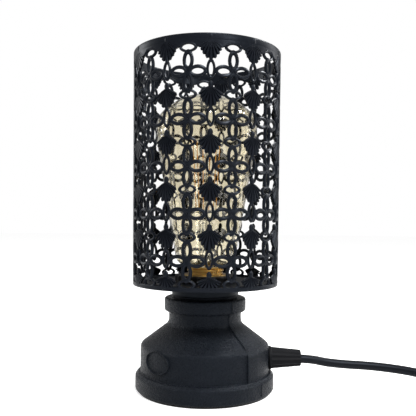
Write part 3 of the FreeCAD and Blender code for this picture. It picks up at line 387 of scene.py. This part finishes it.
def feltFinish():
    f = Finish("feltBlack")
    fibre = f.noise(900.0, 5.0, 0.75, f.stretched((1, 0.35, 1), (0, 0, 0.7)))
    lint = f.noise(2600.0, 2.0).between(0.66, 0.8)
    colour = (lint * 0.6 + fibre * 0.25).blend(rgb(0.006, 0.006, 0.007), rgb(0.05, 0.05, 0.054))
    f.set(Base_Color=colour, Roughness=0.95, Sheen_Weight=0.4, Sheen_Roughness=0.5)
    f.set(Normal=f.bump(fibre, 0.0004, 0.8))
    return f


def strapFinish():
    f = Finish("strapWeave")
    warp = f.waves(420.0, "X", 0.6)
    weft = f.waves(420.0, "Z", 0.6)
    colour = (warp * weft).blend(rgb(0.008, 0.008, 0.009), rgb(0.045, 0.045, 0.048))
    f.set(Base_Color=colour, Roughness=0.8, Normal=f.bump(warp + weft, 0.0002, 0.7))
    return f


def sleeveFinish(name, dark, light):
    f = Finish(name)
    skin = f.noise(500.0, 3.0)
    f.set(Base_Color=skin.blend(rgb(*dark), rgb(*light)), Roughness=0.4 + skin * 0.15)
    f.set(Normal=f.bump(skin, 0.00005, 0.5))
    return f


def filamentFinish():
    f = Finish("filamentGold")
    grain = f.noise(1500.0, 3.0)
    f.set(Base_Color=grain.blend(rgb(0.62, 0.26, 0.035), rgb(0.95, 0.52, 0.12)), Metallic=0.6)
    f.set(Roughness=0.35 + grain * 0.2, Normal=f.bump(grain, 0.00003, 0.5))
    return f


# each row: material, dark and light colour, roughness, stretch of the lines, share of tarnish, bump
metals = {
    "zinc_plate": ("zincPlate", (0.30, 0.30, 0.29), (0.56, 0.56, 0.54), 0.30, (1, 12, 1), 0.6),
    "aged_brass": ("agedBrass", (0.16, 0.10, 0.04), (0.48, 0.33, 0.13), 0.28, (1, 1, 16), 0.9),
    "bright_brass": ("brightBrass", (0.45, 0.30, 0.11), (0.78, 0.59, 0.26), 0.22, (1, 12, 1), 0.5),
    "spring_steel": ("springSteel", (0.30, 0.30, 0.31), (0.62, 0.62, 0.63), 0.25, (1, 1, 8), 0.4),
    "golden_brass": ("goldenBrass", (0.42, 0.22, 0.05), (0.80, 0.50, 0.15), 0.20, (1, 1, 14), 0.5),
    "solder": ("solderGrey", (0.30, 0.30, 0.32), (0.62, 0.62, 0.65), 0.30, (1, 1, 1), 0.7, 0.00008),
    "dark_wire": ("darkWire", (0.10, 0.10, 0.10), (0.28, 0.27, 0.26), 0.35, (1, 1, 6), 0.5),
    "zinc_steel": ("zincSteel", (0.33, 0.32, 0.28), (0.62, 0.61, 0.57), 0.28, (10, 1, 1), 0.6),
}
# the shade ring is given a near-black metal finish in place of the aged brass its record names, so it reads dark
# below the bulb's cap
shadeRingMetal = ("nearBlackRing", (0.006, 0.006, 0.007), (0.020, 0.019, 0.018), 0.42, (1, 1, 10), 0.9)
# each row: material, dark and light colour, roughness, grain, depth of the grain, specular level
mouldings = {
    "black_nylon": ("nylonBlack", (0.0050, 0.0053, 0.0066), (0.008, 0.0084, 0.01), 0.48, 1800, 0.00005, 0.08),
    "black_plastic": ("plasticBlack", (0.0065, 0.0067, 0.0078), (0.01, 0.0103, 0.0118), 0.42, 1400, 0.00005, 0.2),
    "gloss_black": ("glossBlack", (0.008, 0.008, 0.009), (0.012, 0.012, 0.014), 0.16, 500, 0.00001, 0.5),
    "soft_rubber": ("rubberBlack", (0.0060, 0.0062, 0.0070), (0.0105, 0.0108, 0.0120), 0.55, 900, 0.00005, 0.2),
}
# each row: material, dark and light colour
sleeves = {
    "brown_sleeve": ("brownSleeve", (0.035, 0.014, 0.006), (0.075, 0.030, 0.012)),
    "blue_sleeve": ("blueSleeve", (0.010, 0.045, 0.22), (0.025, 0.085, 0.34)),
    "green_sleeve": ("greenSleeve", (0.02, 0.13, 0.02), (0.05, 0.22, 0.035)),
}
finishes = {
    "felt": feltFinish(),
    "black_casting": castingFinish(),
    "black_pipe": pipeFinish(),
    "black_sheet": sheetFinish(),
    "white_ceramic": ceramicFinish(),
    "amber_glass": glassFinish("amberGlass", rgb(0.84, 0.80, 0.685), 0.0, 55.0),
    "black_glass": vitriteFinish(),
    "clear_glass": glassFinish("clearGlass", rgb(0.96, 0.97, 0.96), 0.02, 90.0),
    "filament_wire": filamentFinish(),
    "black_cord": cordFinish(),
    "tie_strap": strapFinish(),
}
for rows, makeFinish in ((metals, metalFinish), (mouldings, mouldedFinish), (sleeves, sleeveFinish)):
    for slotName, values in rows.items():
        finishes[slotName] = makeFinish(*values)
for part in frame["record"]["subparts"]:
    dressed(nodes[part["node"]], finishes[part["material_slot"]])
dressed(nodes["shade_ring"], metalFinish(*shadeRingMetal))
print("finishes made:", len(finishes))


def placed(piece, body, slotName, *replaced):
    # gives a finished piece its finish, the body it rides on and the CAD nodes it stands for
    dressed(piece, finishes[slotName])
    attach(piece, body)
    if replaced:
        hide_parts(*replaced)


cord = {
    "diameter": 5.4, "curveSteps": 10, "bevelSteps": 5,
    "exit": (60.8, 0.0, 19.5),
    "front": [(31.88, 0.0, 19.5), (65.0, 0.0, 19.5), (80.0, 0.0, 16.0), (112.0, -2.6, 15.1),
              (140.0, -16.0, 13.2), (170.0, -32.5, 3.9), (200.0, -33.9, 8.5)],
    "lead": [(252.0, -33.9, 8.5), (264.4, -34.1, 7.4), (283.0, -33.9, 3.0)],
    "tail": [(283.5, 33.9, 13.5), (267.3, 33.2, 14.2), (253.7, 28.6, 15.2), (239.7, 27.5, 15.5)],
    "coilCentre": (294.6, 0.0),
    "columns": (23.1, 28.5, 33.9),
    "layers": (2.7, 8.1, 13.5),
    "turns": [(2, 0), (2, 1), (1, 1), (1, 0), (0, 0), (0, 1), (0, 2), (1, 2), (2, 2)],
    "pointsPerTurn": 16,
    "change": 0.2,
}


def cordCurve(name, points):
    deselectAll()
    data = bpy.data.curves.new(name, "CURVE")
    data.dimensions = "3D"
    spline = data.splines.new("NURBS")
    spline.points.add(len(points) - 1)
    for target, point in zip(spline.points, points):
        target.co = (point[0] * mm, point[1] * mm, point[2] * mm, 1.0)
    spline.order_u = 3
    spline.use_endpoint_u = True
    data.resolution_u = cord["curveSteps"]
    data.bevel_depth = cord["diameter"] / 2 * mm
    data.bevel_resolution = cord["bevelSteps"]
    data.use_fill_caps = True
    curve = bpy.data.objects.new(name, data)
    bpy.context.scene.collection.objects.link(curve)
    return curve


def coilPoints():
    # each turn keeps its own place in the bundle and changes to the next one near its end
    made = []
    perTurn = cord["pointsPerTurn"]
    places = [(cord["columns"][c], cord["layers"][l]) for c, l in cord["turns"]]
    swell = 2 / (1 + math.cos(math.pi / perTurn))
    for k in range(int((len(places) - 0.5) * perTurn) + 1):
        turn, share = divmod(k / perTurn, 1.0)
        here = places[min(int(turn), len(places) - 1)]
        after = places[min(int(turn) + 1, len(places) - 1)]
        move = max(0.0, (share - 1 + cord["change"]) / cord["change"])
        move = move * move * (3 - 2 * move)
        radius = (here[0] + (after[0] - here[0]) * move) * swell
        height = here[1] + (after[1] - here[1]) * move
        angle = 2 * math.pi * k / perTurn
        made.append((cord["coilCentre"][0] + radius * math.sin(angle),
                     cord["coilCentre"][1] - radius * math.cos(angle), height))
    return made


cordFront = cordCurve("cordFront", cord["front"])
placed(cordFront, "base", "black_cord", "cord_front")
cordRear = cordCurve("cordRear", cord["lead"] + coilPoints() + cord["tail"])
placed(cordRear, "base", "black_cord", "cord_lead", "cord_coil", "cord_tail")
print("cords laid")


foot = {
    "bottom": 1.0, "bandRadius": 43.75, "bandTop": 11.8, "bellRadius": 40.65, "bellTop": 28.6,
    "neckRadius": 23.0, "neckFoot": 42.0, "mouthRadius": 25.9, "mouthLow": 49.5, "top": 58.0,
    "edge": 1.5, "ledge": (1.9, 2.0), "shoulder": 3.5, "neckRounding": 5.0,
    "inside": [(20.6, 58.0, 0), (20.6, 46.5, 0), (19.0, 46.5, 0), (19.0, 39.4, 2.0), (36.15, 26.3, 6.0),
               (36.15, 3.0, 0), (37.45, 3.0, 0), (37.45, 1.0, 0)],
    "ribAngle": 44.2, "ribWidth": 8.8, "ribBevel": 0.35,
    "rib": [(38.6, 9.8, 0), (41.55, 9.8, 0), (41.55, 28.1, 4.0), (35.6, 32.2, 0), (33.6, 28.6, 0)],
    "ovalAngle": -44.0, "ovalHeight": 22.4, "ovalOuter": (10.2, 7.0), "ovalInner": (9.2, 6.0),
    "ovalDepth": 0.9, "ovalRise": 0.45, "ovalBend": 9.0, "ovalBendLow": 2.8,
    "seamWidth": 0.9, "seamAngle": 40.4, "bandSeamAngle": 52.0,
    "coneSeam": [(22.0, 36.0, 0), (38.5, 30.9, 0), (24.6, 41.6, 2.0), (23.3, 43.6, 2.0), (23.3, 49.6, 0),
                 (22.0, 49.6, 0)],
    "mouthSeam": [(24.5, 49.9, 0), (26.2, 50.4, 0), (26.2, 57.2, 0), (24.5, 57.6, 0)],
    "bandSeam": [(42.6, 1.9, 0), (44.0, 2.5, 0), (44.0, 9.6, 0), (42.4, 11.4, 0), (41.8, 11.0, 0)],
}


def bellCorners():
    v = foot
    return [
        (v["bandRadius"], v["bottom"], v["edge"]), (v["bandRadius"], v["bandTop"] - v["ledge"][1], 0.8),
        (v["bandRadius"] - v["ledge"][0], v["bandTop"], 0.7), (v["bellRadius"], v["bandTop"] + 0.2, 0.5),
        (v["bellRadius"], v["bellTop"], v["shoulder"]), (v["neckRadius"], v["neckFoot"], v["neckRounding"]),
        (v["neckRadius"], v["mouthLow"], 0.8), (v["mouthRadius"], v["mouthLow"], v["edge"]),
        (v["mouthRadius"], v["top"], v["edge"]),
    ]


def makeFoot():
    v = foot
    pieces = [turnedPiece("footCasting", bellCorners() + v["inside"], 128, 8)]
    ribTurn = math.degrees(v["ribWidth"] / v["bellRadius"])
    seamTurn = math.degrees(v["seamWidth"] / v["neckRadius"])
    for side in (0, 180):
        start = v["ribAngle"] - 90 + ribTurn / 2 + side
        rib = turnedPiece("rib", v["rib"], 10, 5, ribTurn, start)
        takeUp(rib)
        bevel = rib.modifiers.new("softEdge", "BEVEL")
        bevel.width = v["ribBevel"] * mm
        bevel.segments = 2
        applyModifiers(rib)
        pieces.append(rib)
    seams = [(v["seamAngle"], "coneSeam"), (v["seamAngle"], "mouthSeam"), (v["bandSeamAngle"], "bandSeam")]
    for angle, seam in seams:
        for side in (0, 180):
            start = angle - 90 + seamTurn / 2 + side
            pieces.append(turnedPiece("seam", v[seam], 3, 3, seamTurn, start))
    oval = ringPiece("oval", v["ovalOuter"], v["ovalInner"], v["ovalDepth"], v["ovalRise"], 40, 8, 0.0)
    for vertex in oval.data.vertices:  # its upper part leans back onto the shoulder
        vertex.co.y += max(0.0, vertex.co.z - v["ovalBendLow"] * mm) ** 2 / (2 * v["ovalBend"] * mm)
    wrapOnDrum(oval, lambda height: v["bellRadius"], v["ovalAngle"], v["ovalHeight"])
    smoothPiece(oval, 60)
    pieces.append(oval)
    placed(joinPieces("footCasting", pieces), "base", "black_casting", "base_reducer")


makeFoot()

stem = {
    "outer": 21.2, "bore": 18.0, "tail": 20.5, "low": 46.5, "shoulder": 59.5, "top": 66.6, "chamfer": 0.6,
}
nipple = turnedPiece("stemNipple", [
    (stem["bore"], stem["low"], 0), (stem["tail"], stem["low"], 0.3), (stem["tail"], stem["shoulder"] - 0.2, 0),
    (stem["tail"] + 0.2, stem["shoulder"], 0), (stem["outer"], stem["shoulder"], stem["chamfer"]),
    (stem["outer"], stem["top"], 0.2), (stem["bore"], stem["top"], 0.2)], 96, 3)
placed(nipple, "base", "black_pipe", "pipe_nipple")

pan = {"hole": 14.7, "radius": 44.3, "floor": 66.6, "thickness": 0.8, "top": 68.9, "bend": 2.0, "edge": 0.2}
inner = pan["radius"] - pan["thickness"]
above = pan["floor"] + pan["thickness"]
shadePan = turnedPiece("shadePan", [
    (pan["hole"], pan["floor"], 0.1), (pan["radius"], pan["floor"], pan["bend"]),
    (pan["radius"], pan["top"], pan["edge"]), (inner, pan["top"], pan["edge"]),
    (inner, above, pan["bend"] - pan["thickness"]), (pan["hole"], above, 0.1)], 96, 4)
placed(shadePan, "base", "black_sheet", "shade_pan")
print("foot, stem and pan made")


shade = {
    "radius": 46.0, "flare": 1.2, "thickness": 1.6, "bottom": 66.0, "top": 213.0,
    "columns": 11, "firstColumn": 2.8, "rows": 5, "firstRow": 204.8, "rowPitch": 27.0,
    "flatOuter": (5.5, 3.2), "flatInner": (3.5, 1.6), "flatLift": 0.3,
    "tallOuter": (2.75, 6.0), "tallInner": (1.15, 3.75), "tallLift": 1.2,
    "pairOuter": (5.7, 3.8), "pairInner": (3.3, 1.6), "pairOffset": 7.6,
    "midOuter": (3.4, 6.4), "midInner": (1.2, 3.3), "midOffset": 6.3,
    "ringDepth": 1.5, "ringCrest": 0.4, "ringSink": 0.37,
    "shellHinge": 4.4, "shellTip": 12.2, "shellSide": 7.6, "shellTurn": 66.0, "shellEnd": 110.0,
    "shellNeck": 1.4, "shellRibs": 9, "shellRise": 0.4, "shellThickness": 1.2, "shellLift": 0.32,
    "ribShares": (0.0, 0.28, 0.72), "ribCrest": 0.45, "ribValley": 0.35, "crestReach": 1.03,
    "valleyReach": 0.93, "knob": (1.6, 1.2, 2.2), "knobLift": 1.4, "lowShellShare": 0.64,
    "topPlate": 207.3, "bottomPlate": 68.6, "plateInset": 0.05, "plateBevel": 0.35,
    "topDrop": 2.7, "dropStart": 3.2, "dropLength": 2.8, "rimLow": 208.7, "rimInset": 0.02, "rimOverlap": 1.0,
}


def shellReach(turn):
    # how far a shell reaches from its hinge, at an angle in degrees from straight down
    v = shade
    away = abs(turn)
    if away <= v["shellTurn"]:
        return v["shellSide"] + (v["shellTip"] - v["shellSide"]) * (1 - away / v["shellTurn"]) ** 1.8
    share = (away - v["shellTurn"]) / (v["shellEnd"] - v["shellTurn"])
    return v["shellNeck"] + (v["shellSide"] - v["shellNeck"]) * (1 - share) ** 4.5


def shellPiece():
    # a grid bent into a fan: its columns are ribs from the hinge, its rows run out to the scalloped edge
    v = shade
    ribs = v["shellRibs"]
    ribTurn = 2 * v["shellTurn"] / ribs
    wing = v["shellEnd"] - v["shellTurn"]
    turns = [v["shellTurn"] + wing * share for share in (1.0, 0.5, 0.2)]
    for k in range(ribs):
        turns += [v["shellTurn"] - ribTurn * (k + share) for share in v["ribShares"]]
    turns += [-t for t in turns[3::-1]]
    deselectAll()
    bpy.ops.mesh.primitive_grid_add(x_subdivisions=len(turns) - 1, y_subdivisions=4, size=2.0)
    piece = bpy.context.object
    for vertex in piece.data.vertices:
        column = round((vertex.co.x + 1) / 2 * (len(turns) - 1))
        out = (vertex.co.y + 1) / 2
        turn = turns[column]
        inFan = abs(turn) <= v["shellTurn"] + 0.01
        crest = 1.0 if inFan and column % 3 != 0 else 0.0
        edge = shellReach(turn) * (v["crestReach"] if crest or not inFan else v["valleyReach"])
        reach = 0.5 + (edge - 0.5) * out
        dome = math.sin(math.pi * min(1.0, 0.15 + 0.85 * out) ** 0.8)
        push = v["shellRise"] * dome * (1 - 0.6 * (turn / v["shellEnd"]) ** 2)
        push += (v["ribCrest"] * crest - v["ribValley"] * (1 - crest)) * min(1.0, 0.25 + 1.6 * out)
        across = reach * math.sin(math.radians(turn))
        up = v["shellHinge"] - reach * math.cos(math.radians(turn))
        vertex.co = Vector((across * mm, -(push + v["shellLift"]) * mm, up * mm))
    tidyMesh(piece, 1e-6)
    takeUp(piece)
    solid = piece.modifiers.new("sheet", "SOLIDIFY")
    solid.thickness = v["shellThickness"] * mm
    solid.offset = -1
    applyModifiers(piece)
    deselectAll()
    bpy.ops.mesh.primitive_uv_sphere_add(segments=10, ring_count=6, radius=1.0 * mm)
    knob = bpy.context.object
    wide, deep, tall = v["knob"]
    for vertex in knob.data.vertices:
        x, y, z = vertex.co
        vertex.co = Vector((x * wide, y * deep, z * tall + (v["shellHinge"] + v["knobLift"]) * mm))
    return joinPieces("shell", [piece, knob])


def repeatOnShade(name, piece, places, sink=0.0):
    # copies of one flat piece, each laid on the drum at its own angle and height
    made = []
    for angle, height in places:
        other = copyPiece(piece, name)
        wrapOnDrum(other, lambda level: drumRadius(level) - shade["thickness"] / 2 - sink, angle, height)
        made.append(other)
    bpy.data.objects.remove(piece)
    whole = joinPieces(name, made)
    smoothPiece(whole, 40)
    return whole


def borderPlate(name, low, high, drop):
    # a strip round the shade, whose lower edge drops between the flat ovals; its radii are set per point
    v = shade
    step = 360.0 / v["columns"]
    outer, inner = 41.0, 40.0
    corners = [(outer, low, 0), (outer, high, 0), (inner, high, 0), (inner, low, 0)]
    strip = turnedPiece(name, corners, 22 * v["columns"], 0)
    middle = (low + high) / 2 * mm
    for vertex in strip.data.vertices:
        x, y, z = vertex.co
        turn = math.degrees(math.atan2(x, -y))
        outside = math.hypot(x, y) > (outer + inner) / 2 * mm
        fromMid = (turn - v["firstColumn"]) % step - step / 2
        across = abs(fromMid) * math.radians(1) * v["radius"]
        if z < middle:
            z -= drop * mm * min(1.0, max(0.0, (across - v["dropStart"]) / v["dropLength"]))
        inset = v["plateInset"] if outside else v["thickness"] - v["plateInset"]
        drum = (drumRadius(z) - inset) * mm
        vertex.co = Vector((drum * math.sin(math.radians(turn)), -drum * math.cos(math.radians(turn)), z))
    takeUp(strip)
    bevel = strip.modifiers.new("softEdge", "BEVEL")
    bevel.width = v["plateBevel"] * mm
    bevel.segments = 2
    bevel.limit_method = "ANGLE"
    applyModifiers(strip)
    smoothPiece(strip, 45)
    return strip


def makeShade():
    v = shade
    step = 360.0 / v["columns"]
    columns = [v["firstColumn"] + step * k for k in range(v["columns"])]
    levels = [v["firstRow"] - v["rowPitch"] * k for k in range(v["rows"])]
    crossings = [level - v["rowPitch"] / 2 for level in levels]
    lowest = levels[-1] - v["rowPitch"]
    pairTurn = math.degrees(v["pairOffset"] / (v["radius"] + v["flare"] / 2))
    places = {
        "flat": [(c + step / 2, h + v["flatLift"]) for c in columns for h in levels + [lowest]],
        "tall": [(c, h + v["tallLift"]) for c in columns for h in crossings],
        "pair": [(c + side * pairTurn, h) for c in columns for h in crossings for side in (-1, 1)],
        "mid": [(c + step / 2, h + side * v["midOffset"]) for c in columns for h in crossings
                for side in (-1, 1)],
    }
    rings = []
    for kind, spots in places.items():
        ring = ringPiece(kind, v[kind + "Outer"], v[kind + "Inner"], v["ringDepth"], v["ringCrest"], 20, 8)
        rings.append(repeatOnShade(kind + "Rings", ring, spots, v["ringSink"]))
    shadeRings = joinPieces("shadeRings", rings)
    placed(shadeRings, "base", "black_sheet", "shade_wall")
    shell = shellPiece()
    lowShell = copyPiece(shell, "lowShell")
    for vertex in lowShell.data.vertices:
        vertex.co.z -= min(0.0, vertex.co.z - v["shellHinge"] * mm) * (1 - v["lowShellShare"])
    shells = repeatOnShade("shells", shell, [(c, h) for c in columns for h in levels])
    lowShells = repeatOnShade("lowShells", lowShell, [(c, lowest) for c in columns])
    shadeShells = joinPieces("shadeShells", [shells, lowShells])
    placed(shadeShells, "base", "black_sheet")
    topStrip = borderPlate("topStrip", v["topPlate"], v["rimLow"] + v["rimOverlap"], v["topDrop"])
    lowStrip = borderPlate("lowStrip", v["bottom"], v["bottomPlate"], 0)
    wide = drumRadius(v["top"] * mm)
    outer, inner = wide - v["rimInset"], wide - v["thickness"]
    rim = turnedPiece("rim", [(inner, v["rimLow"], 0.3), (outer, v["rimLow"], 0.5), (outer, v["top"], 0.8),
                              (inner, v["top"], 0.5)], 144, 3)
    shadeBorders = joinPieces("shadeBorders", [topStrip, lowStrip, rim])
    placed(shadeBorders, "base", "black_sheet")
    faces = sum(len(piece.data.polygons) for piece in (shadeRings, shadeShells, shadeBorders))
    print("shade made:", faces, "faces")


makeShade()


bulb = {
    "radius": 32.4, "top": 186.9, "crownRadius": 42.0, "crownSlope": 39.0, "shoulderRadius": 16.0,
    "capTop": 77.3, "taperHeight": 82.5, "neckRadius": 18.5, "neckHeight": 2.3, "endRadius": 10.4,
    "glass": 0.9, "seat": 3.2, "lipRadius": 7.0, "taperRounding": 55.0, "neckRounding": 5.0, "endLift": 0.5,
}


def glassCorners(inset):
    v = bulb
    top = v["top"] - inset
    radius = v["radius"] - inset
    slope = math.radians(v["crownSlope"])
    corner = (v["crownRadius"] - inset) * math.tan(slope / 2)
    low = v["capTop"] - v["seat"]
    return [
        (0, top, 0), (corner, top, v["crownRadius"] - inset),
        (radius, top - (radius - corner) * math.tan(slope), v["shoulderRadius"] - inset),
        (radius, v["capTop"] + v["taperHeight"], v["taperRounding"]),
        (v["neckRadius"] - inset, v["capTop"] + v["neckHeight"] + inset / 2, v["neckRounding"] - inset),
        (v["endRadius"] - inset, v["capTop"] + v["endLift"] + inset, 1.0),
        (v["endRadius"] - inset, low + inset, 0),
    ]


lowEnd = bulb["capTop"] - bulb["seat"]
lip = [(bulb["lipRadius"], lowEnd, 0), (bulb["lipRadius"], lowEnd + bulb["glass"], 0)]
inside = glassCorners(bulb["glass"])[::-1]
glass = turnedPiece("bulbGlass", glassCorners(0) + lip + inside, 96, 12, smooth=50)
placed(glass, "bulb", "amber_glass", "bulb_glass")
print("bulb made")


studio = {
    "floorSize": 8.0, "floorGlow": 0.70, "floorGloss": 0.2,  # the gloss values are what reflections see of it
    "skyLight": 0.32, "skyGloss": 0.12,
    "lights": {  # place, target, size, power
        "keyLight": ((0.62, 0.22, 0.72), (0, 0, 0.05), 0.20, 6.0),
        "topLight": ((0.20, -0.62, 1.05), (0, 0, 0.10), 0.28, 12.5),
        "rightPanel": ((1.10, 0.48, 0.45), (0, 0, 0.16), 0.50, 2.6),
        "leftPanel": ((-1.10, 0.48, 0.45), (0, 0, 0.16), 0.50, 4.0),
        "frontLight": ((0.60, -0.95, 0.55), (0, 0, 0.12), 0.25, 3.0),
    },
    "eye": (0.0013, -0.370, 0.1065), "tilt": 1.26, "roll": 0.52, "sensor": 36.0, "focus": 576 / 416,
}


def lightPath(start):
    # 1 on rays from the camera, from a gloss and through glass
    return [start.node("ShaderNodeLightPath", output=k) for k in (0, 3, 6)]


def makeStage():
    deselectAll()
    bpy.ops.mesh.primitive_plane_add(size=studio["floorSize"])
    floor = bpy.context.object
    floor.name = "floor"
    f = Finish("floorWhite")
    seen, glossy, through = lightPath(f.start)
    grain = f.noise(30.0, 2.0)
    f.set(Base_Color=grain.blend(rgb(0.80, 0.80, 0.80), rgb(0.82, 0.82, 0.82)), Roughness=0.9)
    glow = (seen + glossy * studio["floorGloss"] + through) * studio["floorGlow"]
    f.set(Emission_Color=rgb(1, 1, 1), Emission_Strength=glow)
    dressed(floor, f)


def makeWorld():
    world = bpy.data.worlds.new("studio")
    bpy.context.scene.world = world
    world.use_nodes = True
    tree = world.node_tree
    tree.nodes.clear()
    start = Signal(tree)
    direct, glossy, through = lightPath(start)
    seen = start.maths("MINIMUM", direct + through + glossy * studio["skyGloss"], 1.0)
    strength = studio["skyLight"] + seen * (1 - studio["skyLight"])
    sky = start.node("ShaderNodeBackground", {}, {"Color": rgb(1, 1, 1), "Strength": strength})
    out = tree.nodes.new("ShaderNodeOutputWorld")
    tree.links.new(sky.socket, out.inputs[0])


def softLight(name, place, target, size, power):
    data = bpy.data.lights.new(name, "AREA")
    data.shape = "SQUARE"
    data.size = size
    data.energy = power
    light = bpy.data.objects.new(name, data)
    bpy.context.scene.collection.objects.link(light)
    light.location = place
    light.rotation_euler = (Vector(target) - Vector(place)).to_track_quat("-Z", "Y").to_euler()


def makeCamera():
    data = bpy.data.cameras.new("camera")
    data.sensor_width = studio["sensor"]
    data.lens = studio["focus"] * studio["sensor"]
    data.clip_start = 0.01
    camera = bpy.data.objects.new("camera", data)
    bpy.context.scene.collection.objects.link(camera)
    tilt = Matrix.Rotation(math.radians(90 + studio["tilt"]), 4, "X")
    roll = Matrix.Rotation(math.radians(studio["roll"]), 4, "Z")
    camera.matrix_world = Matrix.Translation(studio["eye"]) @ tilt @ roll
    bpy.context.scene.camera = camera


makeStage()
makeWorld()
for name, settings in studio["lights"].items():
    softLight(name, *settings)
makeCamera()
bpy.context.scene.view_settings.view_transform = "Standard"
print("stage, light and camera set")
